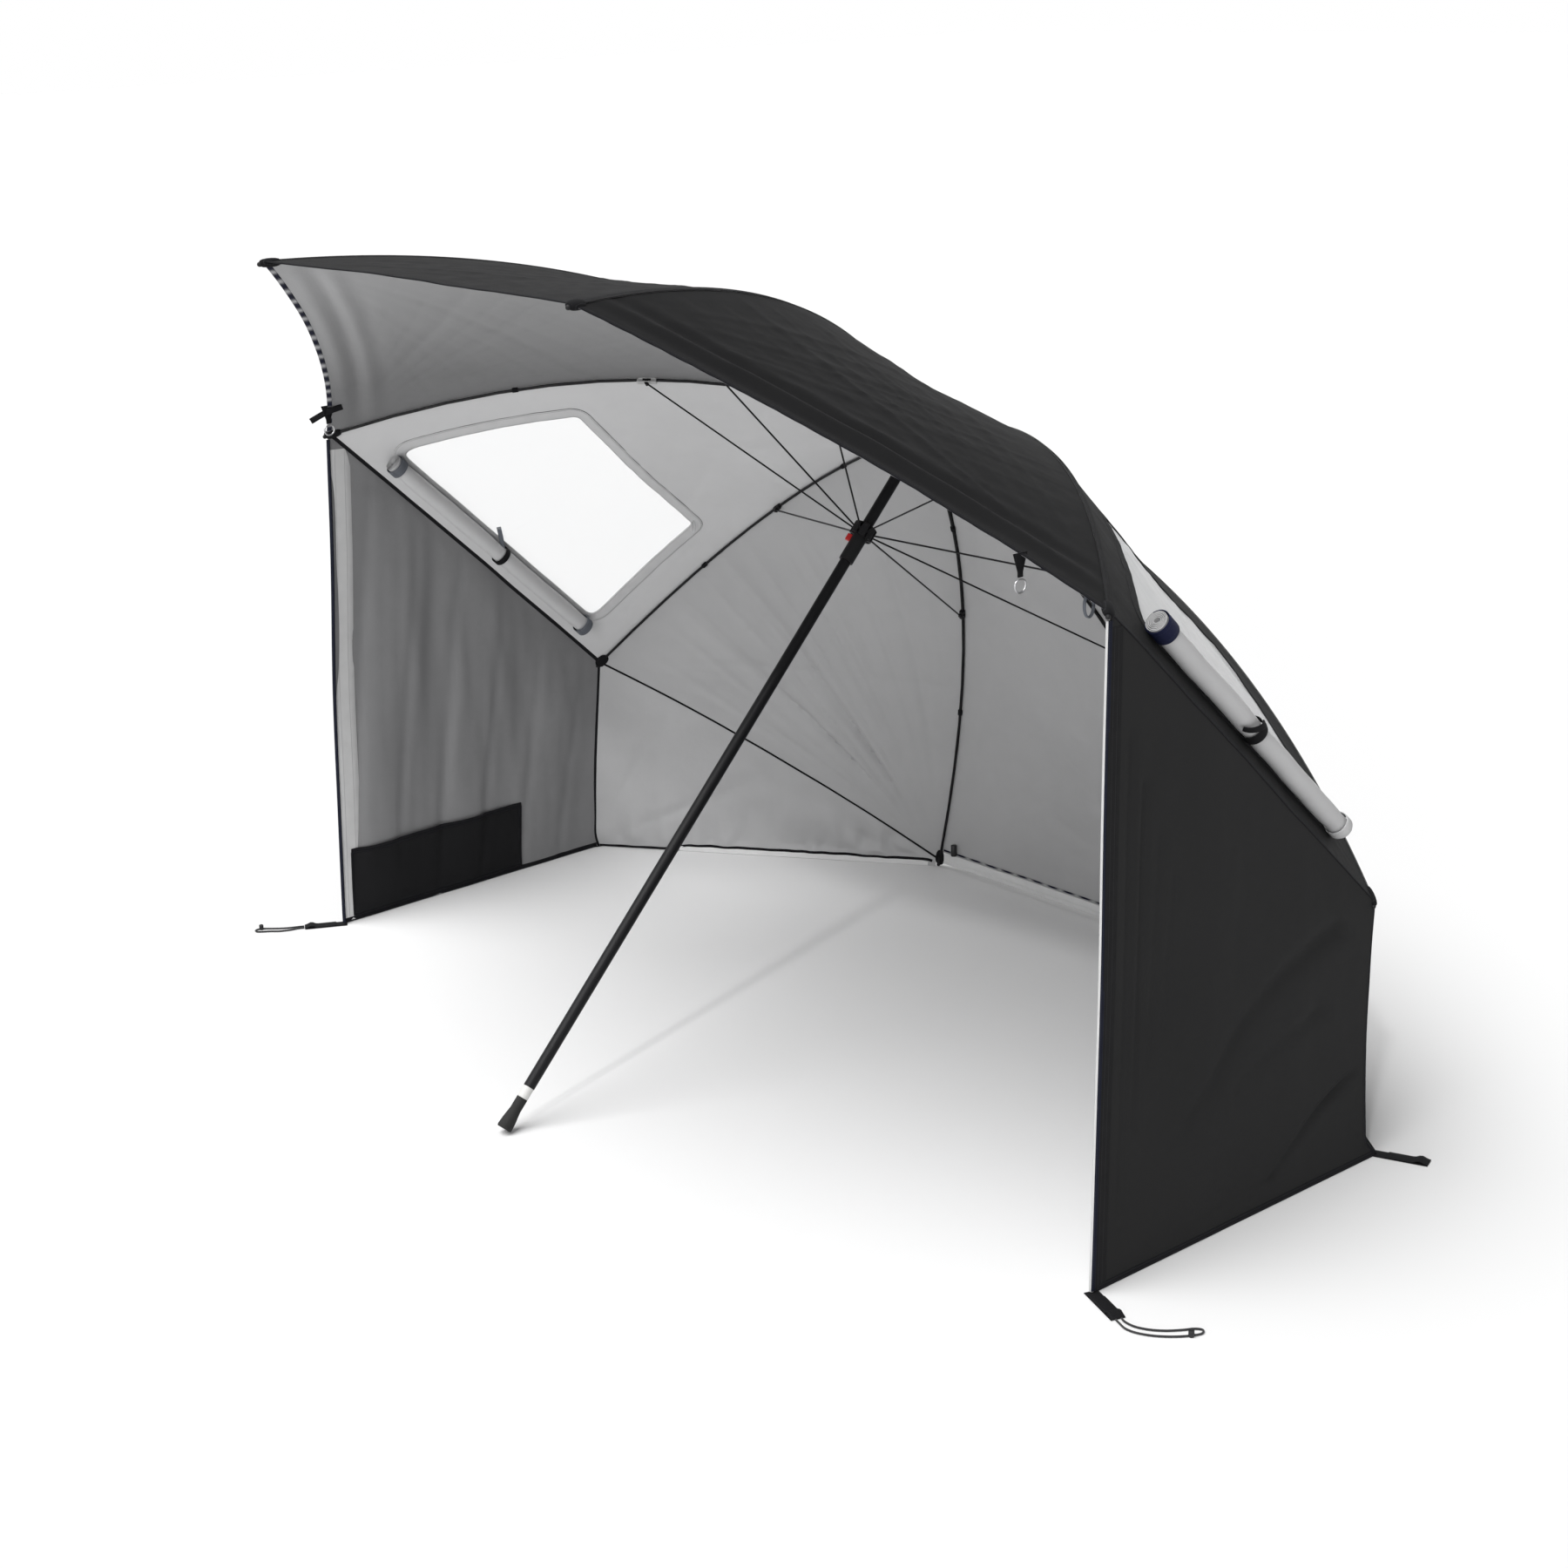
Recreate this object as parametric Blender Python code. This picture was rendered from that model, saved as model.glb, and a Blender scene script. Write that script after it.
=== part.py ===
"""Umbrella tent: a large eight-rib umbrella laid back as a half-dome beach shelter.

Metres, +Z up. The open front faces -Y. The origin is on the ground, midway between the rib tips.
Two frames are used: the world, for all that hangs or lies on the ground, and the umbrella's own,
whose Z is the pole's axis, whose X points to the rim's upper front and whose origin is the rim's centre.
"""

import math

import bmesh
import bpy
from mathutils import Matrix, Vector

# Overall shape
TILT = math.radians(43.65)
RIBS = 8
TIP_RADIUS = 1.2
DOME_RISE = 0.49
DOME_POWER = 2.2
SEAM_DIP = 0.012
GAP = 0.0003

# Pole
POLE_RADIUS = 0.011
POLE_WALL = 0.0014
SPIGOT_LENGTH = 0.08
PLUG_JOINT_HEIGHT = 0.33
POLE_FOOT_HEIGHT = 0.1

# Foot
BOOT_BASE_RADIUS = 0.0135
BOOT_FLARE_RADIUS = 0.0145
BOOT_TOP_RADIUS = 0.0105
BOOT_TOP_HEIGHT = 0.077
BOOT_FLARE_AT = 0.004
BOOT_FLARE_END = 0.018
BOOT_SHOULDER = 0.04
BOOT_FLOOR = 0.008
COLLAR_RADIUS = POLE_RADIUS - 0.0005
SPIKE_RADIUS = 0.005
SPIKE_POINT_LENGTH = 0.022
SPIKE_FROM_FLOOR = 0.004
SPIKE_PLUG_LENGTH = 0.04

# Ribs and stretchers
RIB_RADIUS = 0.003
RIB_ROOT = 0.004
WIRE_RADIUS = 0.0009
EYE_BORE = WIRE_RADIUS + 2 * GAP
CLEVIS_AT = 0.6
CLEVIS_PIN_RADIUS = 0.0015
CLEVIS_EAR = 0.0018
CLEVIS_HALF_LENGTH = 0.009
CLEVIS_CLEARANCE = 0.0015
STRETCHER_RADIUS = 0.002
STRETCHER_BAR = 0.9
STRETCHER_EYE_RADIUS = 0.0035
TIP_LENGTH = 0.018
TIP_SLEEVE = 0.9
TIP_WALL = 0.0012
TIP_BALL = 0.0045

# Crown and cap
PIVOT_RADIUS = POLE_RADIUS + 0.0085
CROWN_RADIUS = PIVOT_RADIUS + 0.005
CROWN_SLEEVE_LENGTH = 0.034
CROWN_FLANGE_BELOW = 0.012
CROWN_FLANGE_ABOVE = 0.0025
CROWN_WEB = 0.0022
CAP_RADIUS = 0.042
CAP_HEIGHT = 0.012
CAP_EDGE = 0.002
CAP_STEM_RADIUS = 0.008

# Runner with its release button
RUNNER_NECK_RADIUS = POLE_RADIUS + 0.0035
RUNNER_FLANGE_RADIUS = PIVOT_RADIUS + 0.004
RUNNER_NECK_LENGTH = 0.055
RUNNER_FLANGE_BELOW = 0.012
RUNNER_FLANGE_ABOVE = 0.016
RUNNER_BEVEL = 0.004
BUTTON_WIDTH = 0.007
BUTTON_HEIGHT = 0.014
BUTTON_PROUD = 0.009
BUTTON_TRAVEL = 0.0018
BUTTON_BELOW_PIVOT = 0.023
BUTTON_AZIMUTH = math.radians(315)
BUTTON_ROUNDING = 0.0012

# Canopy
CLOTH = 0.001
SEAM_GAP = 0.0005
CANOPY_HOLE = CAP_STEM_RADIUS + 0.0025
ROOF_SAG = 0.01
UPPER_SAG = 0.03
WINDOW_SAG = 0.003
LOW_SAG = 0.015
BACK_SAG = 0.0

# The sleeves of the tips lie under the cloth, and the stretchers' eyes under the ribs.
RIB_DROP = CLOTH + TIP_WALL + RIB_RADIUS
CLEVIS_DROP = RIB_RADIUS + STRETCHER_EYE_RADIUS + CLEVIS_CLEARANCE

# Windows, measured in from the hem and from the seams
WINDOW_LOW = TIP_RADIUS - 0.07
WINDOW_HIGH = WINDOW_LOW - 0.35
WINDOW_BORDER = 0.105
WINDOW_CORNER = 0.03
FILM = 0.0006
ROLL_RADIUS = 0.019
ROLL_AT = TIP_RADIUS - 0.05

# Walls, in the world frame and for the right side
WALL_CLOTH = 0.0014
FRONT_SPLAY = 0.021
BACK_SPLAY = 0.031
FRONT_CORNER_AT = -0.38
BACK_CORNER_AT = 0.33
TIP_NOTCH = RIB_DROP + RIB_RADIUS + TIP_WALL + 0.0086
SKIRT_END = 0.02
FOLD_DEPTH = 0.009
POCKET_LENGTH = 0.46
POCKET_FROM_FRONT = 0.025
POCKET_LOW = 0.012
POCKET_HIGH = 0.165
POCKET_THICKNESS = 0.004
POCKET_GAP = 0.001
WALL_COLUMNS = 22
WALL_ROWS = 10
SKIRT_COLUMNS = 16
SKIRT_ROWS = 6

# Corner webbing, cords and guy tabs
TAB_WIDTH = 0.025
TAB_THICKNESS = 0.002
FRONT_TAB_LENGTH = 0.087
BACK_TAB_LENGTH = 0.091
CORD_RADIUS = 0.00175
GUY_AZIMUTH = math.radians(60)
GUY_TAB_WIDTH = 0.03
GUY_TAB_FOOT = 0.01
GUY_TAB_HEIGHT = 0.035
GUY_RING_RADIUS = 0.0115
GUY_RING_WIRE = 0.0019
GUY_RING_LAP = 0.001

HALF_GORE = math.pi / RIBS
SIDES = {"right": 1, "left": -1}
RIB_NAMES = (
    "top_right", "upper_right", "lower_right", "ground_right",
    "ground_left", "lower_left", "upper_left", "top_left",
)

# Base colour, roughness and metallic
COLOURS = {
    "black_metal": ((0.012, 0.012, 0.013), 0.35, 0.8),
    "steel": ((0.55, 0.56, 0.58), 0.3, 1.0),
    "black_plastic": ((0.015, 0.015, 0.016), 0.45, 0.0),
    "pale_plastic": ((0.72, 0.72, 0.7), 0.4, 0.0),
    "red_plastic": ((0.55, 0.02, 0.02), 0.4, 0.0),
    "boot_rubber": ((0.012, 0.012, 0.012), 0.8, 0.0),
    "canopy_cloth": ((0.03, 0.03, 0.032), 0.75, 0.0),
    "wall_cloth": ((0.03, 0.03, 0.032), 0.75, 0.0),
    "silver_cloth": ((0.42, 0.42, 0.43), 0.5, 0.2),
    "clear_film": ((0.85, 0.87, 0.88), 0.15, 0.0),
    "pocket_cloth": ((0.012, 0.012, 0.013), 0.8, 0.0),
    "webbing": ((0.012, 0.012, 0.013), 0.8, 0.0),
    "cord": ((0.012, 0.012, 0.013), 0.7, 0.0),
}


def clear_scene():
    for obj in list(bpy.data.objects):
        bpy.data.objects.remove(obj, do_unlink=True)


def material(name):
    found = bpy.data.materials.get(name)
    if found:
        return found
    colour, roughness, metallic = COLOURS[name]
    made = bpy.data.materials.new(name)
    made.use_nodes = True
    shader = made.node_tree.nodes["Principled BSDF"]
    shader.inputs["Base Color"].default_value = (*colour, 1)
    shader.inputs["Roughness"].default_value = roughness
    shader.inputs["Metallic"].default_value = metallic
    return made


def dome(radius):
    """Height of the canopy over the rim's plane, above a rib."""
    return DOME_RISE * (1 - (radius / TIP_RADIUS) ** DOME_POWER)


def inward(radius):
    """Unit vector square to the canopy there and pointing inside, in a rib's radial plane."""
    slope = -DOME_RISE * DOME_POWER / TIP_RADIUS * (radius / TIP_RADIUS) ** (DOME_POWER - 1)
    return Vector((slope, 0, -1)).normalized()


def below_canopy(radius, depth):
    """A point in a rib's radial plane, that far inside the canopy."""
    return Vector((radius, 0, dome(radius))) + inward(radius) * depth


# The canopy and the ribs bend at the same radii, so that their facets stay parallel.
STATION_STEPS = 6
STATIONS = [
    low + (high - low) * i / STATION_STEPS
    for low, high in ((4 * PIVOT_RADIUS, CLEVIS_AT), (CLEVIS_AT, TIP_RADIUS - TIP_LENGTH))
    for i in range(STATION_STEPS)
]
STATIONS.append(TIP_RADIUS - TIP_LENGTH)
CROWN_PIVOT = Vector((PIVOT_RADIUS, 0, below_canopy(PIVOT_RADIUS, RIB_DROP).z))
CLEVIS_PIVOT = below_canopy(CLEVIS_AT, RIB_DROP + CLEVIS_DROP)
RUNNER_HEIGHT = 2 * CLEVIS_PIVOT.z - CROWN_PIVOT.z
RUNNER_PIVOT = Vector((PIVOT_RADIUS, 0, RUNNER_HEIGHT))
RIB_END = below_canopy(TIP_RADIUS, RIB_DROP)
RIB_END_DIRECTION = (RIB_END - below_canopy(TIP_RADIUS - TIP_LENGTH, RIB_DROP)).normalized()
BALL_CENTRE = RIB_END + RIB_END_DIRECTION * TIP_BALL

# The two rib tips at the back rest on the ground, which sets the rim's height. Its place along Y
# puts the foremost and the rearmost tips as far from the origin.
RIM_HEIGHT = (
    TIP_BALL
    + BALL_CENTRE.x * math.cos(HALF_GORE) * math.sin(TILT)
    - BALL_CENTRE.z * math.cos(TILT)
)
RIM_FORWARD = -BALL_CENTRE.z * math.sin(TILT)
GROUND_ON_AXIS = -RIM_HEIGHT / math.cos(TILT)
BOOT_END = GROUND_ON_AXIS + BOOT_BASE_RADIUS * math.tan(TILT)
FRONT_CORNER = Vector((TIP_RADIUS * math.cos(HALF_GORE) + FRONT_SPLAY, FRONT_CORNER_AT, 0))
BACK_CORNER = Vector((TIP_RADIUS * math.cos(HALF_GORE) + BACK_SPLAY, BACK_CORNER_AT, 0))

UMBRELLA = Matrix(
    (
        (0, 1, 0, 0),
        (-math.cos(TILT), 0, math.sin(TILT), RIM_FORWARD),
        (math.sin(TILT), 0, math.cos(TILT), RIM_HEIGHT),
        (0, 0, 0, 1),
    )
)


def new_object(name, mesh, slot, matrix=None, smooth=30):
    """One named node. Its matrix is in the world; smooth is the sharp-edge angle in degrees."""
    if smooth:
        mesh.shade_smooth()
        mesh.set_sharp_from_angle(angle=math.radians(smooth))
    if not mesh.materials:
        mesh.materials.append(material(slot))
    obj = bpy.data.objects.new(name, mesh)
    bpy.context.scene.collection.objects.link(obj)
    if matrix is not None:
        obj.matrix_world = matrix
    return obj


def empty(name, matrix):
    obj = bpy.data.objects.new(name, None)
    bpy.context.scene.collection.objects.link(obj)
    obj.empty_display_size = 0.05
    obj.matrix_world = matrix
    return obj


def helper(mesh, name="cutter"):
    obj = bpy.data.objects.new(name, mesh)
    bpy.context.scene.collection.objects.link(obj)
    obj.hide_render = True
    obj.display_type = "WIRE"
    return obj


def mesh_from(bm, name):
    bmesh.ops.recalc_face_normals(bm, faces=bm.faces)
    mesh = bpy.data.meshes.new(name)
    bm.to_mesh(mesh)
    bm.free()
    return mesh


def evaluated_mesh(obj, name):
    """The object's mesh with its modifiers applied, and the object and its helpers removed."""
    bpy.context.view_layer.update()
    graph = bpy.context.evaluated_depsgraph_get()
    mesh = bpy.data.meshes.new_from_object(obj.evaluated_get(graph))
    mesh.name = name
    for modifier in list(obj.modifiers):
        if modifier.type == "BOOLEAN":
            bpy.data.objects.remove(modifier.object, do_unlink=True)
    bpy.data.objects.remove(obj, do_unlink=True)
    return mesh


def combine(mesh, others, operation):
    """One Boolean after another on a mesh, which comes back as a new mesh."""
    body = helper(mesh, "body")
    for other in others:
        modifier = body.modifiers.new("join_or_cut", "BOOLEAN")
        modifier.solver = "EXACT"
        modifier.operation = operation
        modifier.object = helper(other)
    return evaluated_mesh(body, mesh.name)


def turned_mesh(name, profile, steps=24):
    """A solid of revolution about Z. The profile's points are (radius, height) and it closes itself."""
    bm = bmesh.new()
    rings = []
    for radius, height in profile:
        if radius == 0:
            rings.append([bm.verts.new((0, 0, height))])
            continue
        ring = []
        for i in range(steps):
            angle = 2 * math.pi * i / steps
            ring.append(bm.verts.new((radius * math.cos(angle), radius * math.sin(angle), height)))
        rings.append(ring)
    for one, two in zip(rings, rings[1:] + rings[:1]):
        if len(one) == 1 and len(two) == 1:
            continue
        for i in range(steps):
            j = (i + 1) % steps
            corners = [one[i % len(one)], one[j % len(one)], two[j % len(two)], two[i % len(two)]]
            bm.faces.new(list(dict.fromkeys(corners)))
    return mesh_from(bm, name)


def tube_mesh(name, points, radius, resolution=2):
    """A round bar along points, with closed ends."""
    curve = bpy.data.curves.new(name, "CURVE")
    curve.dimensions = "3D"
    curve.bevel_depth = radius
    curve.bevel_resolution = resolution
    curve.use_fill_caps = True
    spline = curve.splines.new("POLY")
    spline.points.add(len(points) - 1)
    for point, place in zip(spline.points, points):
        point.co = (*place, 1)
    obj = bpy.data.objects.new(name, curve)
    bpy.context.scene.collection.objects.link(obj)
    mesh = evaluated_mesh(obj, name)
    bpy.data.curves.remove(curve)
    return closed_mesh(mesh, name)


def closed_mesh(mesh, name):
    bm = bmesh.new()
    bm.from_mesh(mesh)
    bmesh.ops.remove_doubles(bm, verts=bm.verts, dist=1e-6)
    bpy.data.meshes.remove(mesh)
    return mesh_from(bm, name)


def box_mesh(name, low, high):
    bm = bmesh.new()
    bmesh.ops.create_cube(bm, size=1)
    size = Vector(high) - Vector(low)
    bmesh.ops.scale(bm, vec=size, verts=bm.verts)
    bmesh.ops.translate(bm, vec=Vector(low) + size / 2, verts=bm.verts)
    return mesh_from(bm, name)


def outline_mesh(name, outline, low, high, axis="Y"):
    """An outline in the plane square to an axis, extruded between two places on it."""
    place = {"Y": lambda a, b, c: (a, c, b), "Z": lambda a, b, c: (a, b, c)}[axis]
    bm = bmesh.new()
    face = bm.faces.new([bm.verts.new(place(a, b, low)) for a, b in outline])
    step = Vector(place(0, 0, high - low))
    made = bmesh.ops.extrude_face_region(bm, geom=[face])
    moved = [v for v in made["geom"] if isinstance(v, bmesh.types.BMVert)]
    bmesh.ops.translate(bm, vec=step, verts=moved)
    return mesh_from(bm, name)


def disc_outline(radius, steps=8, centre=(0, 0)):
    angles = [2 * math.pi * i / steps for i in range(steps)]
    return [(centre[0] + radius * math.cos(a), centre[1] + radius * math.sin(a)) for a in angles]


def sheet_mesh(name, rows, push):
    """A closed sheet: a grid of points, and the same grid moved by push."""
    bm = bmesh.new()
    near = [[bm.verts.new(p) for p in row] for row in rows]
    far = [[bm.verts.new(Vector(p) + push) for p in row] for row in rows]
    last_row, last = len(rows) - 1, len(rows[0]) - 1
    for i in range(last_row):
        for j in range(last):
            bm.faces.new([near[i][j], near[i][j + 1], near[i + 1][j + 1], near[i + 1][j]])
            bm.faces.new([far[i][j], far[i + 1][j], far[i + 1][j + 1], far[i][j + 1]])
    for i in range(last_row):
        bm.faces.new([near[i][0], near[i + 1][0], far[i + 1][0], far[i][0]])
        bm.faces.new([near[i][last], far[i][last], far[i + 1][last], near[i + 1][last]])
    for j in range(last):
        bm.faces.new([near[0][j], far[0][j], far[0][j + 1], near[0][j + 1]])
        end = [near[last_row][j], near[last_row][j + 1], far[last_row][j + 1], far[last_row][j]]
        bm.faces.new(end)
    return mesh_from(bm, name)


def transformed(mesh, matrix):
    mesh.transform(matrix)
    return mesh


def azimuth(index):
    """A rib's angle about the pole, from the rim's upper front towards the right."""
    return (2 * index + 1) * HALF_GORE


# Pole and foot

def on_axis(height):
    return UMBRELLA @ Matrix.Translation((0, 0, height))


def make_pole():
    bore = POLE_RADIUS - POLE_WALL
    joint = GROUND_ON_AXIS + PLUG_JOINT_HEIGHT
    foot = GROUND_ON_AXIS + POLE_FOOT_HEIGHT
    crown_web = CROWN_PIVOT.z - CROWN_FLANGE_BELOW / 3
    upper = [
        (POLE_RADIUS, joint + GAP), (POLE_RADIUS, crown_web - GAP),
        (bore, crown_web - GAP), (bore, joint + GAP),
    ]
    new_object("pole_upper", turned_mesh("pole_upper", upper), "black_metal", UMBRELLA)
    spigot = bore - GAP
    spigot_bore = spigot - POLE_WALL
    lower = [
        (POLE_RADIUS, foot), (POLE_RADIUS, joint), (spigot, joint), (spigot, joint + SPIGOT_LENGTH),
        (spigot_bore, joint + SPIGOT_LENGTH), (spigot_bore, foot),
    ]
    new_object("pole_lower", turned_mesh("pole_lower", lower), "black_metal", UMBRELLA)
    return spigot_bore


def make_foot(plug_room):
    foot = GROUND_ON_AXIS + POLE_FOOT_HEIGHT
    boot_top = GROUND_ON_AXIS + BOOT_TOP_HEIGHT
    floor = BOOT_END + BOOT_FLOOR
    point = floor + SPIKE_FROM_FLOOR
    plug = plug_room - GAP
    spike = [
        (0, point), (SPIKE_RADIUS, point + SPIKE_POINT_LENGTH), (SPIKE_RADIUS, foot + 2 * GAP),
        (plug, foot + 2 * GAP), (plug, foot + SPIKE_PLUG_LENGTH), (0, foot + SPIKE_PLUG_LENGTH),
    ]
    new_object("foot_spike", turned_mesh("foot_spike", spike, 16), "steel", UMBRELLA)
    bore = SPIKE_RADIUS + GAP
    collar = [
        (COLLAR_RADIUS, boot_top + GAP), (COLLAR_RADIUS, foot - GAP),
        (bore, foot - GAP), (bore, boot_top + GAP),
    ]
    new_object("foot_collar", turned_mesh("foot_collar", collar), "pale_plastic", UMBRELLA)
    boot = [
        (0, BOOT_END), (BOOT_BASE_RADIUS, BOOT_END), (BOOT_FLARE_RADIUS, BOOT_END + BOOT_FLARE_AT),
        (BOOT_BASE_RADIUS, BOOT_END + BOOT_FLARE_END), (BOOT_TOP_RADIUS, BOOT_END + BOOT_SHOULDER),
        (BOOT_TOP_RADIUS, boot_top), (bore, boot_top), (bore, floor), (0, floor),
    ]
    new_object("foot_boot", turned_mesh("foot_boot", boot), "boot_rubber", UMBRELLA)


# Crown, its wire ring and the cap over the canopy

def make_crown():
    socket = CAP_STEM_RADIUS + GAP
    core = PIVOT_RADIUS - math.hypot(RIB_ROOT, RIB_RADIUS) - GAP
    canopy_under = on_gore(core, 0).z - CLOTH - CROWN_PIVOT.z
    web_top = -CROWN_FLANGE_BELOW / 3 + CROWN_WEB
    profile = [
        (0, web_top), (socket, web_top), (socket, canopy_under - GAP), (core, canopy_under - GAP),
        (core, CROWN_FLANGE_ABOVE), (CROWN_RADIUS, CROWN_FLANGE_ABOVE), (CROWN_RADIUS, -CROWN_FLANGE_BELOW),
        (core, -CROWN_FLANGE_BELOW), (core, -CROWN_SLEEVE_LENGTH), (POLE_RADIUS + GAP, -CROWN_SLEEVE_LENGTH),
        (POLE_RADIUS + GAP, -CROWN_FLANGE_BELOW / 3), (0, -CROWN_FLANGE_BELOW / 3),
    ]
    body = turned_mesh("crown_hub", profile)
    groove = WIRE_RADIUS + 2 * GAP
    groove_top = 2 * CROWN_RADIUS
    groove_profile = [
        (PIVOT_RADIUS - groove, -groove), (PIVOT_RADIUS + groove, -groove),
        (PIVOT_RADIUS + groove, groove_top), (PIVOT_RADIUS - groove, groove_top),
    ]
    ring_cut = turned_mesh("groove", groove_profile)
    slots = []
    for i in range(RIBS):
        half = RIB_RADIUS + GAP
        low = (core, -half, -2 * CROWN_FLANGE_BELOW)
        slot = box_mesh("slot", low, (2 * CROWN_RADIUS, half, 2 * CROWN_FLANGE_ABOVE))
        slots.append(transformed(slot, Matrix.Rotation(azimuth(i), 4, "Z")))
    mesh = combine(body, [ring_cut, *slots], "DIFFERENCE")
    new_object("crown_hub", mesh, "black_plastic", on_axis(CROWN_PIVOT.z))
    wire = turned_mesh("rib_wire", disc_outline(WIRE_RADIUS, 6, (PIVOT_RADIUS, 0)))
    new_object("rib_wire", wire, "steel", on_axis(CROWN_PIVOT.z))
    under = DOME_RISE + GAP
    stem_end = CROWN_PIVOT.z + web_top + GAP
    cap = [
        (0, under + CAP_HEIGHT), (CAP_RADIUS * 0.45, under + CAP_HEIGHT * 0.9),
        (CAP_RADIUS * 0.8, under + CAP_HEIGHT * 0.55), (CAP_RADIUS, under + CAP_EDGE), (CAP_RADIUS, under),
        (CAP_STEM_RADIUS, under), (CAP_STEM_RADIUS, stem_end), (0, stem_end),
    ]
    new_object("top_cap", turned_mesh("top_cap", cap), "black_plastic", UMBRELLA)


# Runner with its release button

def make_runner():
    bore = POLE_RADIUS + GAP
    end = -RUNNER_FLANGE_BELOW - RUNNER_NECK_LENGTH
    profile = [
        (bore, end), (RUNNER_NECK_RADIUS, end),
        (RUNNER_NECK_RADIUS, -RUNNER_FLANGE_BELOW), (RUNNER_FLANGE_RADIUS, -RUNNER_FLANGE_BELOW),
        (RUNNER_FLANGE_RADIUS, RUNNER_FLANGE_ABOVE - RUNNER_BEVEL), (RUNNER_NECK_RADIUS, RUNNER_FLANGE_ABOVE),
        (bore, RUNNER_FLANGE_ABOVE),
    ]
    body = turned_mesh("runner", profile, 32)
    cuts = []
    half = STRETCHER_RADIUS + GAP
    for i in range(RIBS):
        low = (RUNNER_NECK_RADIUS, -half, -2 * RUNNER_FLANGE_BELOW)
        slot = box_mesh("slot", low, (2 * RUNNER_FLANGE_RADIUS, half, 2 * RUNNER_FLANGE_ABOVE))
        cuts.append(transformed(slot, Matrix.Rotation(azimuth(i), 4, "Z")))
    half_width = BUTTON_WIDTH / 2 + GAP
    half_height = BUTTON_HEIGHT / 2 + GAP
    window = box_mesh(
        "window",
        (POLE_RADIUS / 2, -half_width, -BUTTON_BELOW_PIVOT - half_height),
        (2 * RUNNER_NECK_RADIUS, half_width, -BUTTON_BELOW_PIVOT + half_height),
    )
    cuts.append(transformed(window, Matrix.Rotation(BUTTON_AZIMUTH, 4, "Z")))
    new_object("runner", combine(body, cuts, "DIFFERENCE"), "black_plastic", on_axis(RUNNER_HEIGHT))
    seat = bore + BUTTON_TRAVEL + GAP
    button = box_mesh(
        "runner_button",
        (seat, -BUTTON_WIDTH / 2, -BUTTON_HEIGHT / 2),
        (RUNNER_NECK_RADIUS + BUTTON_PROUD, BUTTON_WIDTH / 2, BUTTON_HEIGHT / 2),
    )
    turn = Matrix.Rotation(BUTTON_AZIMUTH, 4, "Z") @ Matrix.Translation((0, 0, -BUTTON_BELOW_PIVOT))
    obj = new_object("runner_button", button, "red_plastic", on_axis(RUNNER_HEIGHT) @ turn, smooth=0)
    bevel = obj.modifiers.new("rounded", "BEVEL")
    bevel.width = BUTTON_ROUNDING
    bevel.segments = 2


# Ribs, stretchers and rib tips: each is one mesh, placed eight times

def rib_mesh():
    """A rib in its own frame: X away from the pole, Z along it, origin on the crown pivot."""
    points = [Vector((-RIB_ROOT, 0, 0)), Vector((PIVOT_RADIUS / 2, 0, 0))]
    points += [below_canopy(r, RIB_DROP) - CROWN_PIVOT for r in STATIONS]
    points.append(RIB_END - CROWN_PIVOT)
    bar = tube_mesh("rib", points, RIB_RADIUS, 1)
    down = inward(CLEVIS_AT)
    along = Vector((-down.z, 0, down.x))
    lean = Matrix((along, (0, 1, 0), -down)).transposed().to_4x4()
    at = Matrix.Translation(CLEVIS_PIVOT - CROWN_PIVOT) @ lean
    inner = STRETCHER_RADIUS + GAP
    outer = inner + CLEVIS_EAR
    ear_radius = STRETCHER_EYE_RADIUS + GAP
    low, high = ear_radius + 0.5 * CLEVIS_CLEARANCE, CLEVIS_DROP + 0.8 * RIB_RADIUS
    block = box_mesh("block", (-CLEVIS_HALF_LENGTH, -outer, low), (CLEVIS_HALF_LENGTH, outer, high))
    added = [transformed(block, at)]
    arc = [math.pi * (1 + i / 4) for i in range(5)]
    outline = [(ear_radius * math.cos(a), ear_radius * math.sin(a)) for a in arc]
    outline += [(ear_radius, CLEVIS_DROP), (-ear_radius, CLEVIS_DROP)]
    for side in (-1, 1):
        low, high = sorted((side * inner, side * outer))
        added.append(transformed(outline_mesh("ear", outline, low, high), at))
    middle = (inner + outer) / 2
    pin = outline_mesh("pin", disc_outline(CLEVIS_PIN_RADIUS, 8), -middle, middle)
    added.append(transformed(pin, at))
    whole = combine(bar, added, "UNION")
    eye = outline_mesh("eye", disc_outline(EYE_BORE), -2 * RIB_RADIUS, 2 * RIB_RADIUS)
    return combine(whole, [eye], "DIFFERENCE")


def stretcher_mesh():
    """A stretcher in its own frame: X away from the pole, Z along it, origin on the clevis pivot."""
    to_runner = RUNNER_PIVOT - CLEVIS_PIVOT
    direction = to_runner.normalized()
    half = STRETCHER_RADIUS
    inside_eye = direction * (CLEVIS_PIN_RADIUS + STRETCHER_EYE_RADIUS) / 2
    bar = tube_mesh("stretcher", [inside_eye, to_runner - inside_eye], STRETCHER_RADIUS * STRETCHER_BAR, 1)
    far_outline = disc_outline(STRETCHER_EYE_RADIUS, 8, (to_runner.x, to_runner.z))
    far_eye = outline_mesh("far_eye", far_outline, -half, half)
    near_eye = outline_mesh("near_eye", disc_outline(STRETCHER_EYE_RADIUS), -half, half)
    hole = outline_mesh("hole", disc_outline(CLEVIS_PIN_RADIUS + 1.5 * GAP), -2 * half, 2 * half)
    return combine(combine(bar, [far_eye, near_eye], "UNION"), [hole], "DIFFERENCE")


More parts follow.
